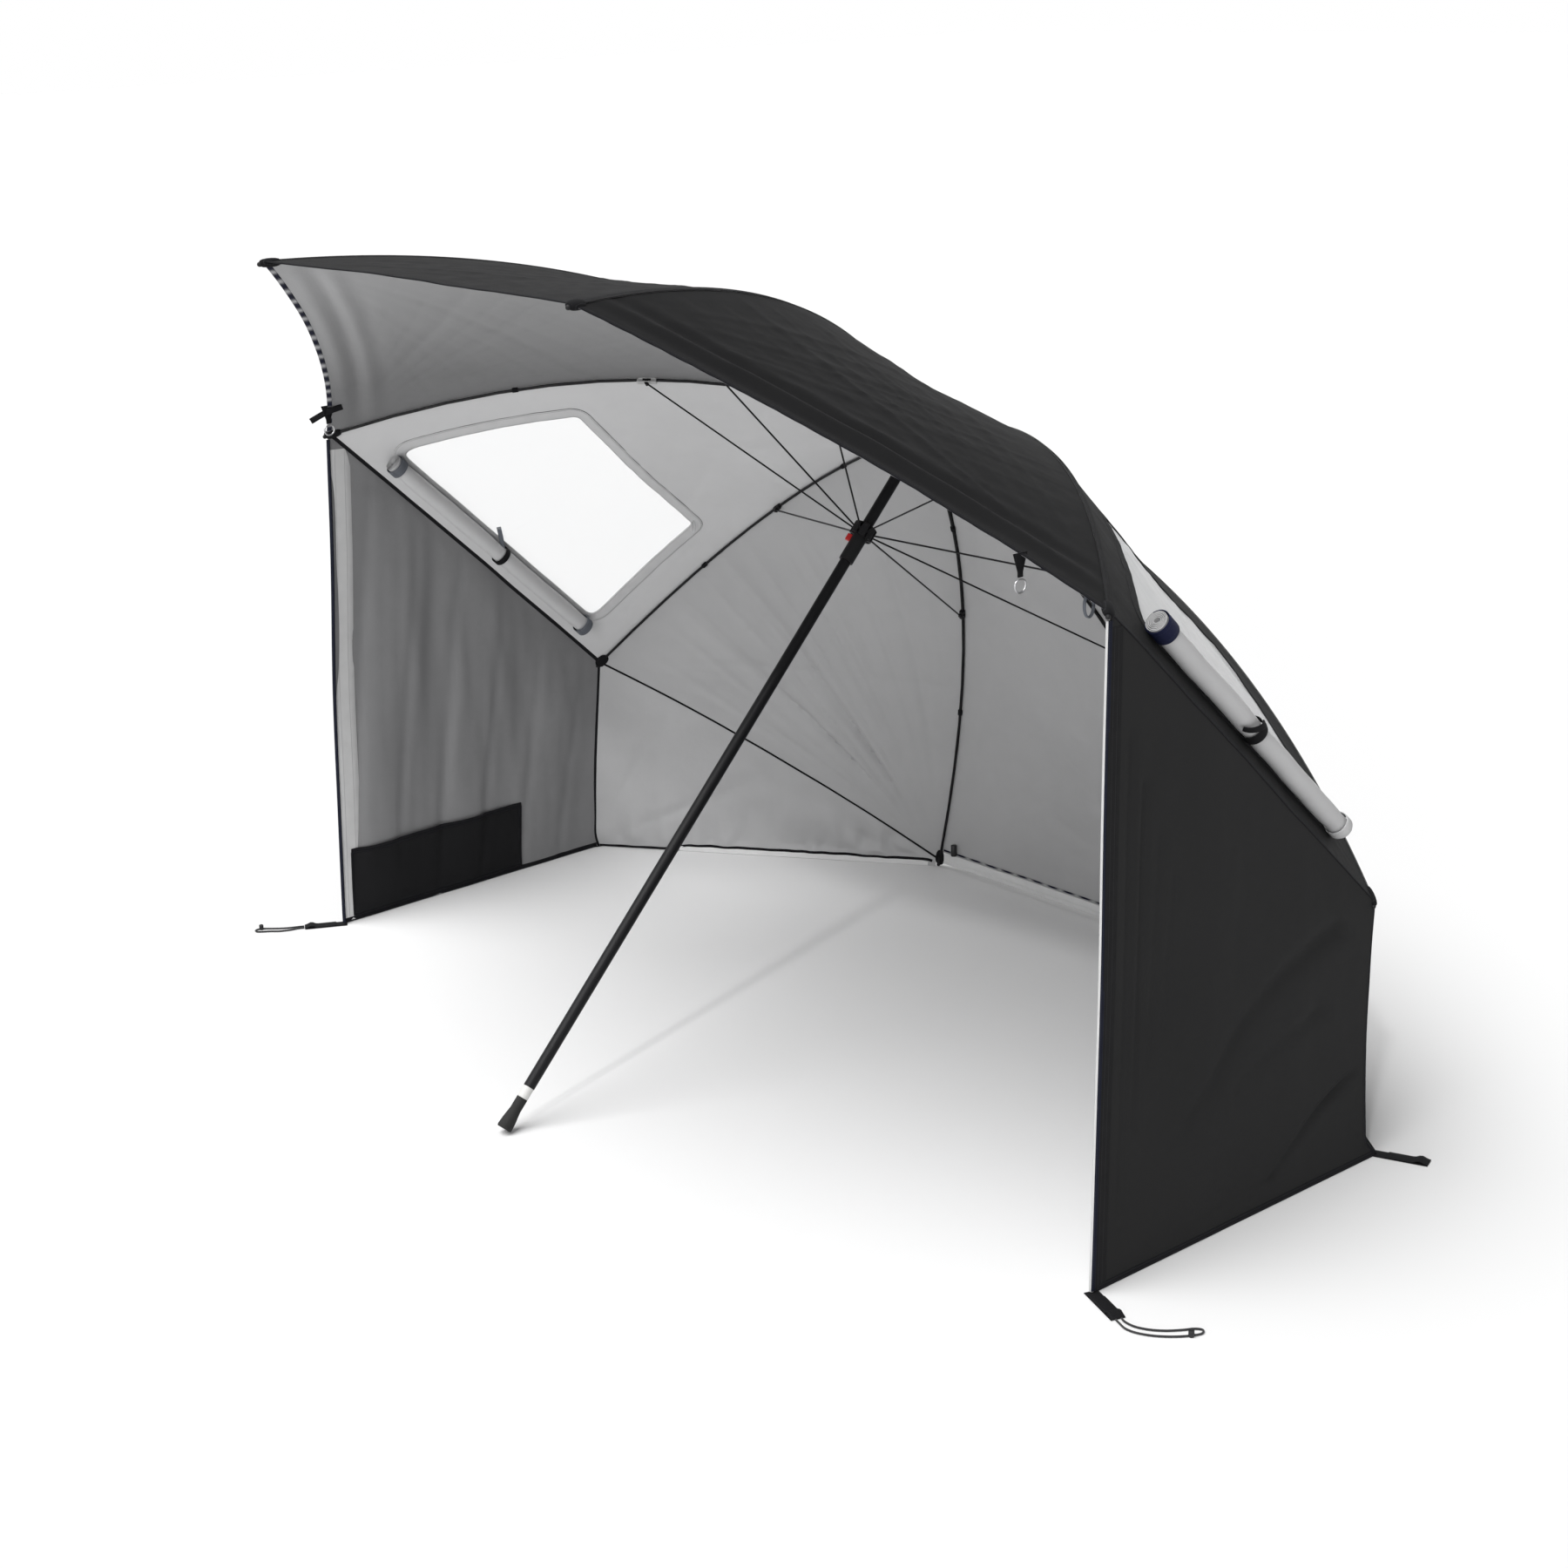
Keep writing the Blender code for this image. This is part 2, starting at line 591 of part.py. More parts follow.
def tip_mesh():
    """A tip in its own frame: Z out of the rib's end, origin on the end."""
    bore, outer, end = RIB_RADIUS + GAP, RIB_RADIUS + TIP_WALL, -TIP_LENGTH * TIP_SLEEVE
    arc = [math.radians(-40 + 130 * i / 4) for i in range(4)]
    ball = [(TIP_BALL * math.cos(a), TIP_BALL + TIP_BALL * math.sin(a)) for a in arc]
    profile = [(0, GAP), (bore, GAP), (bore, end), (outer, end), (outer, 0), *ball, (0, 2 * TIP_BALL)]
    return turned_mesh("tip", profile, 10)


def make_ribs():
    rib, stretcher, tip = rib_mesh(), stretcher_mesh(), tip_mesh()
    lean = Vector((0, 0, 1)).rotation_difference(RIB_END_DIRECTION).to_matrix().to_4x4()
    for i, name in enumerate(RIB_NAMES):
        frame = empty(f"plane_{name}", UMBRELLA @ Matrix.Rotation(azimuth(i), 4, "Z"))
        pieces = (
            (f"rib_{name}", rib, "black_metal", Matrix.Translation(CROWN_PIVOT)),
            (f"stretcher_{name}", stretcher, "black_metal", Matrix.Translation(CLEVIS_PIVOT)),
            (f"tip_{name}", tip, "black_plastic", Matrix.Translation(RIB_END) @ lean),
        )
        for node, mesh, slot, local in pieces:
            obj = new_object(node, mesh, slot)
            obj.parent = frame
            obj.matrix_local = local


# Canopy

def on_gore(radius, across, sag=0.0):
    """A point of a gore in its own frame, whose X runs up its middle. across is -1 to 1, rib to rib."""
    share = radius / TIP_RADIUS
    slack = 1 - across * across
    cut = radius - sag * slack * share**4
    dip = SEAM_DIP * slack * math.sin(math.pi * min(share, 1))
    side = across * (cut * math.sin(HALF_GORE) - SEAM_GAP / 2)
    return Vector((cut * math.cos(HALF_GORE), side, dome(cut) - dip))


def gore_mesh(name, sag, thickness=CLOTH):
    halves = 3
    rows = []
    for radius in (CANOPY_HOLE, *STATIONS, TIP_RADIUS):
        rows.append([on_gore(radius, j / halves, sag) for j in range(-halves, halves + 1)])
    return sheet_mesh(name, rows, Vector((0, 0, -thickness)))


def window_half(radius):
    """Half the window's width at that radius."""
    return radius * math.sin(HALF_GORE) - WINDOW_BORDER


def window_prism(inset):
    """The window's trapezoid with cut corners, extruded along the pole's axis."""
    low = WINDOW_LOW * math.cos(HALF_GORE) - inset
    high = WINDOW_HIGH * math.cos(HALF_GORE) + inset
    low_half = window_half(WINDOW_LOW) - 1.3 * inset
    high_half = window_half(WINDOW_HIGH) - 1.3 * inset
    corner, slant = WINDOW_CORNER, WINDOW_CORNER * 0.45
    outline = [
        (low - corner, slant - low_half), (low, corner - low_half),
        (low, low_half - corner), (low - corner, low_half - slant),
        (high + corner, high_half - slant), (high, high_half - corner),
        (high, corner - high_half), (high + corner, slant - high_half),
    ]
    return outline_mesh("window", outline, -DOME_RISE, 2 * DOME_RISE, axis="Z")


def gore_frame(index):
    return UMBRELLA @ Matrix.Rotation(2 * index * HALF_GORE, 4, "Z")


def make_canopy():
    plain = (
        ("gore_roof", 0, ROOF_SAG), ("gore_upper_right", 1, UPPER_SAG), ("gore_low_right", 3, LOW_SAG),
        ("gore_back", 4, BACK_SAG), ("gore_low_left", 5, LOW_SAG), ("gore_upper_left", 7, UPPER_SAG),
    )
    for name, index, sag in plain:
        new_object(name, gore_mesh(name, sag), "canopy_cloth", gore_frame(index), smooth=60)
    for side, index in (("right", 2), ("left", 6)):
        name = f"gore_window_{side}"
        cut = combine(gore_mesh(name, WINDOW_SAG), [window_prism(0)], "DIFFERENCE")
        new_object(name, cut, "canopy_cloth", gore_frame(index), smooth=60)
        name = f"window_film_{side}"
        film = combine(gore_mesh(name, WINDOW_SAG, FILM), [window_prism(2 * GAP)], "INTERSECT")
        new_object(name, film, "clear_film", gore_frame(index), smooth=60)
        name = f"window_roll_{side}"
        roll = tube_mesh(name, roll_route(outside=side == "right"), ROLL_RADIUS, 6)
        new_object(name, roll, "silver_cloth", gore_frame(index))


def on_gore_facets(radius, across, sag):
    """The same place as on_gore, but on the flat facets between the gore's rows."""
    rows = (CANOPY_HOLE, *STATIONS, TIP_RADIUS)
    low = max(row for row in rows if row <= radius)
    high = min(row for row in rows if row > radius)
    share = (radius - low) / (high - low)
    return on_gore(low, across, sag).lerp(on_gore(high, across, sag), share)


def roll_route(outside):
    """The middle line of a rolled window cover. The left one is tied up inside, the right one outside."""
    depth = ROLL_RADIUS + CLOTH * abs(inward(ROLL_AT).z) + GAP
    if outside:
        depth = -ROLL_RADIUS - GAP
    steps = 8
    half_width = ROLL_AT * math.sin(HALF_GORE)
    route = []
    for i in range(steps + 1):
        side = window_half(WINDOW_LOW) * (2 * i / steps - 1)
        seat = on_gore_facets(ROLL_AT, side / half_width, WINDOW_SAG)
        route.append(seat + inward(ROLL_AT) * depth)
    return route


# Walls and skirts, which hang from the rim's hem to the ground

def hem_point(index, across, sag):
    return gore_frame(index) @ on_gore(TIP_RADIUS, across, sag)


def mirrored(point, side):
    return Vector((point.x * side, point.y, point.z))


def wall_fold(forward, share):
    """How far the wall's folds stand out: upright ones, and some that fan out from the rear top corner."""
    upright = math.sin(2 * math.pi * (3.2 * forward + 0.35 * share)) * (0.35 + 0.65 * forward)
    fan = math.sin(14 * math.atan2(forward + 0.04, 1.15 - share))
    depth = upright * math.sin(math.pi * share) ** 0.6 + 1.2 * fan * share * (1 - share)
    return FOLD_DEPTH * depth * min(1, 6 * forward)


def notch(across):
    """How far the top edge drops where a rib tip comes out beside it."""
    return Vector((0, 0, -TIP_NOTCH if abs(across) > 0.99 else 0))


def wall_point(along, share):
    """A point of the right wall. along runs from the front edge to the back, share from ground to hem."""
    across = 2 * along - 1
    seam = Vector((0, WALL_CLOTH, 0))
    top = hem_point(2, across, WINDOW_SAG) + Vector((2 * GAP, 0, 0)) + notch(across) - seam * along
    ground = FRONT_CORNER.lerp(BACK_CORNER - seam, along)
    point = ground.lerp(top, share)
    point.x += wall_fold(1 - along, share)
    return point


def skirt_outward():
    """The level unit vector that a skirt's outside faces, on the right."""
    tip = UMBRELLA @ (Matrix.Rotation(azimuth(3), 4, "Z") @ RIB_END)
    run = Vector((tip.x, tip.y, 0)) - BACK_CORNER
    return Vector((-run.y, run.x, 0)).normalized() * -1


def skirt_point(along, share):
    """A point of the right skirt. along runs from the wall's back edge to the rib tip on the ground."""
    across = -1 + 2 * along * (1 - SKIRT_END)
    out = skirt_outward()
    top = hem_point(3, across, LOW_SAG) + out * 2 * GAP + notch(across)
    tip = UMBRELLA @ (Matrix.Rotation(azimuth(3), 4, "Z") @ RIB_END)
    ground_end = Vector((tip.x, tip.y, 0)) + out * 2 * GAP
    ground = BACK_CORNER.lerp(ground_end, along * (1 - SKIRT_END))
    point = ground.lerp(top, share)
    wave = math.sin(2 * math.pi * (2.5 * along + 0.5 * share)) * math.sin(math.pi * share)
    return point + out * FOLD_DEPTH * 0.5 * wave * (1 - along) * min(1, 6 * along)


def grid(point, columns, rows, side):
    lines = []
    for i in range(columns + 1):
        lines.append([mirrored(point(i / columns, j / rows), side) for j in range(rows + 1)])
    return lines


def make_walls():
    for side, sign in SIDES.items():
        name = f"side_wall_{side}"
        push = Vector((sign * WALL_CLOTH, 0, 0))
        mesh = sheet_mesh(name, grid(wall_point, WALL_COLUMNS, WALL_ROWS, sign), push)
        new_object(name, mesh, "wall_cloth", smooth=60)
        name = f"back_skirt_{side}"
        push = mirrored(skirt_outward() * WALL_CLOTH, sign)
        mesh = sheet_mesh(name, grid(skirt_point, SKIRT_COLUMNS, SKIRT_ROWS, sign), push)
        new_object(name, mesh, "wall_cloth", smooth=60)


def on_wall_facets(along, share):
    """The same place as wall_point, but on the flat facets between the wall's grid lines."""
    i = min(int(along * WALL_COLUMNS), WALL_COLUMNS - 1)
    j = min(int(share * WALL_ROWS), WALL_ROWS - 1)
    low, high = (
        wall_point(i / WALL_COLUMNS, row / WALL_ROWS).lerp(
            wall_point((i + 1) / WALL_COLUMNS, row / WALL_ROWS), along * WALL_COLUMNS - i
        )
        for row in (j, j + 1)
    )
    return low.lerp(high, share * WALL_ROWS - j)


def pocket_point(place, height):
    """A point of the pocket's back, just inside the right wall; the pocket itself is on the left."""
    low, high = 0.0, 1.0
    for _ in range(24):
        middle = (low + high) / 2
        low, high = (middle, high) if on_wall_facets(place, middle).z < height else (low, middle)
    return mirrored(on_wall_facets(place, low) - Vector((POCKET_GAP, 0, 0)), -1)


def make_pocket():
    run = (BACK_CORNER - FRONT_CORNER).length
    start, end = POCKET_FROM_FRONT / run, (POCKET_FROM_FRONT + POCKET_LENGTH) / run
    places = [i / WALL_COLUMNS for i in range(WALL_COLUMNS) if start < i / WALL_COLUMNS < end]
    heights = [POCKET_LOW + (POCKET_HIGH - POCKET_LOW) * i / 4 for i in range(5)]
    rows = [[pocket_point(place, height) for height in heights] for place in (start, *places, end)]
    mesh = sheet_mesh("wall_pocket", rows, Vector((POCKET_THICKNESS, 0, 0)))
    new_object("wall_pocket", mesh, "pocket_cloth", smooth=60)


# Webbing, cords and guy rings

TAB_DIRECTIONS = {
    "front_right": Vector((0.94, -0.34, 0)), "front_left": Vector((-0.49, -0.87, 0)),
    "back_right": Vector((0.93, 0.37, 0)), "back_left": Vector((-0.93, 0.37, 0)),
}

# Each cord is a loop: it leaves the end of its tab, lies on the ground and comes back beside itself.
# The places are along the tab and to its left, from the middle of its end, in metres.
CORD_ROUTES = {
    "front_right": (
        (0.0, 0.005), (0.012, 0.005), (0.030, 0.012), (0.047, 0.028), (0.060, 0.050), (0.068, 0.074),
        (0.072, 0.092), (0.080, 0.102), (0.089, 0.096), (0.088, 0.078), (0.080, 0.052), (0.066, 0.026),
        (0.048, 0.006), (0.030, -0.004), (0.012, -0.005), (0.0, -0.005),
    ),
    "front_left": (
        (0.0, 0.005), (0.012, 0.005), (0.032, 0.010), (0.054, 0.011), (0.074, 0.006), (0.090, 0.004),
        (0.102, 0.001), (0.106, -0.007), (0.099, -0.014), (0.086, -0.014), (0.070, -0.010), (0.052, -0.006),
        (0.032, -0.004), (0.012, -0.005), (0.0, -0.005),
    ),
}


def corner(name):
    place = FRONT_CORNER if name.startswith("front") else BACK_CORNER
    return mirrored(place, 1 if name.endswith("right") else -1)


def tab_matrix(name):
    """The tab's frame: X along it and away from the corner, Z up. It starts just clear of the wall's edge."""
    ahead = TAB_DIRECTIONS[name].normalized()
    side = Vector((0, 0, 1)).cross(ahead)
    start = corner(name) + ahead * (WALL_CLOTH * abs(ahead.x) + GAP)
    matrix = Matrix((ahead, side, (0, 0, 1))).transposed().to_4x4()
    matrix.translation = start
    return matrix


def smooth_route(points, steps=4):
    """Points on a smooth curve through the given ones."""
    ends = [2 * points[0] - points[1], *points, 2 * points[-1] - points[-2]]
    route = []
    for a, b, c, d in zip(ends, ends[1:], ends[2:], ends[3:]):
        for i in range(steps):
            t = i / steps
            bend = (2 * a - 5 * b + 4 * c - d) * t**2 + (3 * b - a - 3 * c + d) * t**3
            route.append(0.5 * (2 * b + (c - a) * t + bend))
    return [*route, points[-1]]


def make_corners():
    for name in TAB_DIRECTIONS:
        length = FRONT_TAB_LENGTH if name.startswith("front") else BACK_TAB_LENGTH
        node = f"corner_tab_{name}"
        mesh = box_mesh(node, (0, -TAB_WIDTH / 2, 0), (length, TAB_WIDTH / 2, TAB_THICKNESS))
        new_object(node, mesh, "webbing", tab_matrix(name), smooth=0)
        if name not in CORD_ROUTES:
            continue
        node = f"corner_cord_{name}"
        start = length + GAP
        route = [Vector((start + x, y, CORD_RADIUS)) for x, y in CORD_ROUTES[name]]
        mesh = tube_mesh(node, smooth_route(route, 2), CORD_RADIUS, 2)
        new_object(node, mesh, "cord", tab_matrix(name))


def hem_slope(index, across, sag):
    """Rise of the canopy over a step along +Y, just inside its hem."""
    place = hem_point(index, across, sag)
    inside = gore_frame(index) @ on_gore(0.99 * TIP_RADIUS, across, sag)
    square = (inside - place).cross(hem_point(index, across + 0.01, sag) - place)
    return -square.y / square.z


def make_guy_tabs():
    """A webbing tab with a ring, hanging plumb from the hem near each upper side rib."""
    across = (GUY_AZIMUTH - 2 * HALF_GORE) / HALF_GORE
    for side, sign in SIDES.items():
        hang = mirrored(hem_point(1, across, UPPER_SAG), sign)
        half = TAB_THICKNESS / 2
        top, low = -2 * CLOTH, -2 * CLOTH - GUY_TAB_HEIGHT
        rise = hem_slope(1, across, UPPER_SAG) * GUY_TAB_WIDTH / 2
        outline = [
            (-GUY_TAB_WIDTH / 2, top - rise), (-GUY_TAB_FOOT / 2, low),
            (GUY_TAB_FOOT / 2, low), (GUY_TAB_WIDTH / 2, top + rise),
        ]
        tab = transformed(outline_mesh("tab", outline, -half, half), Matrix.Rotation(math.pi / 2, 4, "Z"))
        ring = turned_mesh("ring", disc_outline(GUY_RING_WIRE, 6, (GUY_RING_RADIUS, 0)), 20)
        ring_centre = Matrix.Translation((0, 0, low - GUY_RING_RADIUS + GUY_RING_LAP))
        seat = ring_centre @ Matrix.Rotation(math.pi / 2, 4, "Y")
        node = f"guy_tab_{side}"
        mesh = combine(tab, [transformed(ring, seat)], "UNION")
        mesh.name = node
        new_object(node, mesh, "webbing", Matrix.Translation(hang))


def main():
    clear_scene()
    make_foot(make_pole())
    make_crown()
    make_runner()
    make_ribs()
    make_canopy()
    make_walls()
    make_pocket()
    make_corners()
    make_guy_tabs()


main()
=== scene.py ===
"""Umbrella tent: a large eight-rib umbrella laid back as a half-dome beach shelter.

Metres, +Z up, the open front faces -Y. Cloth is black outside and silver inside.
"""

import math

import bmesh
import bpy
from mathutils import Matrix, Vector, noise


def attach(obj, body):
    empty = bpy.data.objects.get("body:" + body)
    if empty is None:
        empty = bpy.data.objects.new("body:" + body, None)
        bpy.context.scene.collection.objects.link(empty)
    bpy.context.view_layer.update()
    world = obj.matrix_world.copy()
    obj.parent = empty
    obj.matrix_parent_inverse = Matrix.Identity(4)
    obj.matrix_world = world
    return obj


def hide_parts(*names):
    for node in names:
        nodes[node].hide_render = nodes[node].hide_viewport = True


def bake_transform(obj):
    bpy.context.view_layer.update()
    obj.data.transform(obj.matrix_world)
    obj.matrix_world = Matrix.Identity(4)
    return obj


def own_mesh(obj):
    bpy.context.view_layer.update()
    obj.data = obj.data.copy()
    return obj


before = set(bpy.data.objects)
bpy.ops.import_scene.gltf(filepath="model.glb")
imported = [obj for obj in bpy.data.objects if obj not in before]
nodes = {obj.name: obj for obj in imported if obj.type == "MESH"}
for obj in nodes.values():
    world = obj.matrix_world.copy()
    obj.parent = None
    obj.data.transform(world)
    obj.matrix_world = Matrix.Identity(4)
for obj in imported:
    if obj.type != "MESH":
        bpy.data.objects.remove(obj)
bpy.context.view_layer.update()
scene = bpy.context.scene
bpy.ops.object.select_all(action="DESELECT")


# Camera, floor and light. The tent stands on a plain white floor under soft studio light, with
# the main light high at the front right, so that the pole's shadow runs back to the left.
camera_data = bpy.data.cameras.new("camera")
camera_data.lens = 58.6
camera_data.sensor_width = 36
camera = bpy.data.objects.new("camera", camera_data)
scene.collection.objects.link(camera)
camera.matrix_world = (
    Matrix.Translation((3.578, -3.013, 2.034))
    @ Matrix.Rotation(math.radians(50.24), 4, "Z")
    @ Matrix.Rotation(math.radians(90 - 18.19), 4, "X")
    @ Matrix.Rotation(math.radians(-1.96), 4, "Z")
)
scene.camera = camera
scene.view_settings.view_transform = "Standard"

white_room = bpy.data.worlds.new("white_room")
white_room.use_nodes = True
scene.world = white_room
room_nodes, room_links = white_room.node_tree.nodes, white_room.node_tree.links
room_nodes.clear()
room_output = room_nodes.new("ShaderNodeOutputWorld")
room_path = room_nodes.new("ShaderNodeLightPath")
room_mix = room_nodes.new("ShaderNodeMixShader")
for mix_input, room_strength in ((1, 0.15), (2, 1.0)):
    room_light = room_nodes.new("ShaderNodeBackground")
    room_light.inputs["Color"].default_value = (1, 1, 1, 1)
    room_light.inputs["Strength"].default_value = room_strength
    room_links.new(room_light.outputs[0], room_mix.inputs[mix_input])
seen_rays = room_path.outputs["Is Camera Ray"]
for ray_name in ("Is Glossy Ray", "Is Transmission Ray"):
    either = room_nodes.new("ShaderNodeMath")
    either.operation = "MAXIMUM"
    room_links.new(seen_rays, either.inputs[0])
    room_links.new(room_path.outputs[ray_name], either.inputs[1])
    seen_rays = either.outputs[0]
room_links.new(seen_rays, room_mix.inputs[0])
room_links.new(room_mix.outputs[0], room_output.inputs["Surface"])

bpy.ops.mesh.primitive_plane_add(size=80, location=(0, 0, -0.0006))
floor = bpy.context.object
floor.name = "floor"
floor_paint = bpy.data.materials.new("floor_paint")
floor_paint.use_nodes = True
floor_shader = floor_paint.node_tree.nodes["Principled BSDF"]
floor_shader.inputs["Base Color"].default_value = (0.86, 0.86, 0.86, 1)
floor_shader.inputs["Roughness"].default_value = 0.95
floor_shader.inputs["Specular IOR Level"].default_value = 0.1
floor_shader.inputs["Emission Color"].default_value = (1, 1, 1, 1)
floor_path = floor_paint.node_tree.nodes.new("ShaderNodeLightPath")
floor_lift = floor_paint.node_tree.nodes.new("ShaderNodeMath")
floor_lift.operation = "MULTIPLY"
floor_lift.inputs[1].default_value = 0.04
floor_paint.node_tree.links.new(floor_path.outputs["Is Camera Ray"], floor_lift.inputs[0])
floor_paint.node_tree.links.new(floor_lift.outputs[0], floor_shader.inputs["Emission Strength"])
floor.data.materials.append(floor_paint)

for lamp_name, lamp_travel, lamp_spread, lamp_strength in (
    ("main_light", (0.1, 0.42, -1.0), 46, 2.9),
    ("pole_light", (-0.556, 0.9, -1.0), 3, 0.5),
    ("front_light", (-0.5, 0.85, -0.15), 30, 0.7),
):
    lamp_data = bpy.data.lights.new(lamp_name, "SUN")
    lamp_data.angle = math.radians(lamp_spread)
    lamp_data.energy = lamp_strength
    lamp = bpy.data.objects.new(lamp_name, lamp_data)
    scene.collection.objects.link(lamp)
    lamp.rotation_euler = Vector(lamp_travel).to_track_quat("-Z", "Y").to_euler()


# Corner webbing and peg cords. Four black polyester straps are sewn to the walls' bottom corners,
# each folded over at its end into an eye for a peg. The two front ones carry a loop of thin cord.
def new_finish(name, roughness, metallic=0.0, sheen=0.0, shine=0.4):
    """A material with the values that are the same all over it, and its node tree."""
    made = bpy.data.materials.new(name)
    made.use_nodes = True
    shader = made.node_tree.nodes["Principled BSDF"]
    shader.inputs["Roughness"].default_value = roughness
    shader.inputs["Metallic"].default_value = metallic
    shader.inputs["Sheen Weight"].default_value = sheen
    shader.inputs["Sheen Roughness"].default_value = 0.5
    shader.inputs["Specular IOR Level"].default_value = shine
    return made, made.node_tree, shader


def math_node(tree, operation, first, second=0.0):
    """A Math node whose two inputs are each a socket or a number."""
    node = tree.nodes.new("ShaderNodeMath")
    node.operation = operation
    for socket, value in zip(node.inputs, (first, second)):
        if isinstance(value, (int, float)):
            socket.default_value = value
        else:
            tree.links.new(value, socket)
    return node.outputs[0]


def two_tones(tree, share, first, second):
    """One colour turning into another as share goes from 0 to 1."""
    mix = tree.nodes.new("ShaderNodeMix")
    mix.data_type = "RGBA"
    tree.links.new(share, mix.inputs["Factor"])
    for socket, value in ((mix.inputs[6], first), (mix.inputs[7], second)):
        if isinstance(value, tuple):
            socket.default_value = (*value, 1)
        else:
            tree.links.new(value, socket)
    return mix.outputs[2]


def noise_node(tree, coordinates, scale, detail=3.0):
    node = tree.nodes.new("ShaderNodeTexNoise")
    node.inputs["Scale"].default_value = scale
    node.inputs["Detail"].default_value = detail
    tree.links.new(coordinates, node.inputs["Vector"])
    return node.outputs["Fac"]


wave_metre = 0.314159  # the scale of a wave texture whose ridges are a metre apart


def wave_node(tree, coordinates, direction, period, distortion=0.0):
    """Even ridges, a period in metres apart, along one direction of the coordinates."""
    node = tree.nodes.new("ShaderNodeTexWave")
    node.bands_direction = direction
    node.inputs["Scale"].default_value = wave_metre / period
    node.inputs["Distortion"].default_value = distortion
    tree.links.new(coordinates, node.inputs["Vector"])
    return node.outputs["Fac"]


def raise_surface(tree, shader, height, distance, under=None):
    """Bump by a height from 0 to 1, on top of another bump where there is one."""
    bump = tree.nodes.new("ShaderNodeBump")
    bump.inputs["Distance"].default_value = distance
    tree.links.new(height, bump.inputs["Height"])
    if under is not None:
        tree.links.new(under, bump.inputs["Normal"])
    tree.links.new(bump.outputs["Normal"], shader.inputs["Normal"])
    return bump.outputs["Normal"]


thread_radius, stitch_pitch, stitch_share = 0.0005, 0.0038, 0.64


def tape_finish(name, dark, light, roughness, rib, thread, stitch_at, gaps=None):
    """Woven tape: fine ribs across it, a mottled tone, and a row of stitches near each long edge.
    gaps, a spacing and a colour, are the places where the cloth under it shows between puckers."""
    made, tree, shader = new_finish(name, roughness, shine=0.12)
    place = tree.nodes.new("ShaderNodeTexCoord")
    ribs = wave_node(tree, place.outputs["UV"], "X", rib)
    mottle_and_painted_shade = noise_node(tree, place.outputs["Object"], 38.0)
    tone = two_tones(tree, mottle_and_painted_shade, dark, light)
    split = tree.nodes.new("ShaderNodeSeparateXYZ")
    tree.links.new(place.outputs["UV"], split.inputs[0])
    inset = math_node(tree, "ABSOLUTE", split.outputs["Y"])
    away = math_node(tree, "SUBTRACT", inset, stitch_at)
    near = math_node(tree, "LESS_THAN", math_node(tree, "ABSOLUTE", away), thread_radius)
    pitch = math_node(tree, "DIVIDE", split.outputs["X"], stitch_pitch)
    seen = math_node(tree, "LESS_THAN", math_node(tree, "FRACT", pitch), stitch_share)
    stitch = math_node(tree, "MULTIPLY", near, seen)
    tone = two_tones(tree, stitch, tone, thread)
    height = math_node(tree, "ADD", ribs, math_node(tree, "MULTIPLY", stitch, 2.0))
    if gaps is not None:
        pucker = wave_node(tree, place.outputs["UV"], "X", gaps[0], 1.5)
        tone = two_tones(tree, math_node(tree, "POWER", pucker, 2.2), tone, gaps[1])
    tree.links.new(tone, shader.inputs["Base Color"])
    raise_surface(tree, shader, height, 0.00022)
    return made


def link_mesh(name, vertices, faces, finishes, cut, face_finish=None):
    """A new piece from vertices and faces. cut gives each vertex its place on the flat cloth."""
    mesh = bpy.data.meshes.new(name)
    mesh.from_pydata([tuple(v) for v in vertices], [], faces)
    for finish in finishes:
        mesh.materials.append(finish)
    if face_finish is not None:
        mesh.polygons.foreach_set("material_index", face_finish)
    layer = mesh.uv_layers.new(name="cut")
    for loop in mesh.loops:
        layer.data[loop.index].uv = cut[loop.vertex_index]
    mesh.update()
    mesh.shade_smooth()
    mesh.set_sharp_from_angle(angle=math.radians(50))
    piece = bpy.data.objects.new(name, mesh)
    scene.collection.objects.link(piece)
    return piece


def outward_faces(piece):
    """Turns a closed piece's faces outwards."""
    shell = bmesh.new()
    shell.from_mesh(piece.data)
    bmesh.ops.recalc_face_normals(shell, faces=shell.faces)
    shell.to_mesh(piece.data)
    shell.free()
    return piece


def heading(line, i, closed=False):
    """The way a line runs at its point i, from the point before to the one after."""
    last = len(line)
    before = line[(i - 1) % last] if closed else line[max(i - 1, 0)]
    after = line[(i + 1) % last] if closed else line[min(i + 1, last - 1)]
    return Vector(after) - Vector(before)


def circle(first, second, count):
    """Directions all round, starting at first and turning towards second."""
    turns = [2 * math.pi * k / count for k in range(count)]
    return [first * math.cos(turn) + second * math.sin(turn) for turn in turns]


def ring_faces(rows, count, closed=False):
    """The faces between neighbouring rings of count vertices each."""
    faces = []
    for i in range(rows if closed else rows - 1):
        here, there = i * count, (i + 1) % rows * count
        for k in range(count):
            n = (k + 1) % count
            faces.append((here + k, here + n, there + n, there + k))
    return faces


def seat(piece, body, replaced=None):
    """The piece rides on a body, and stands for a CAD node where one is named."""
    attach(piece, body)
    if replaced is not None:
        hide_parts(replaced)


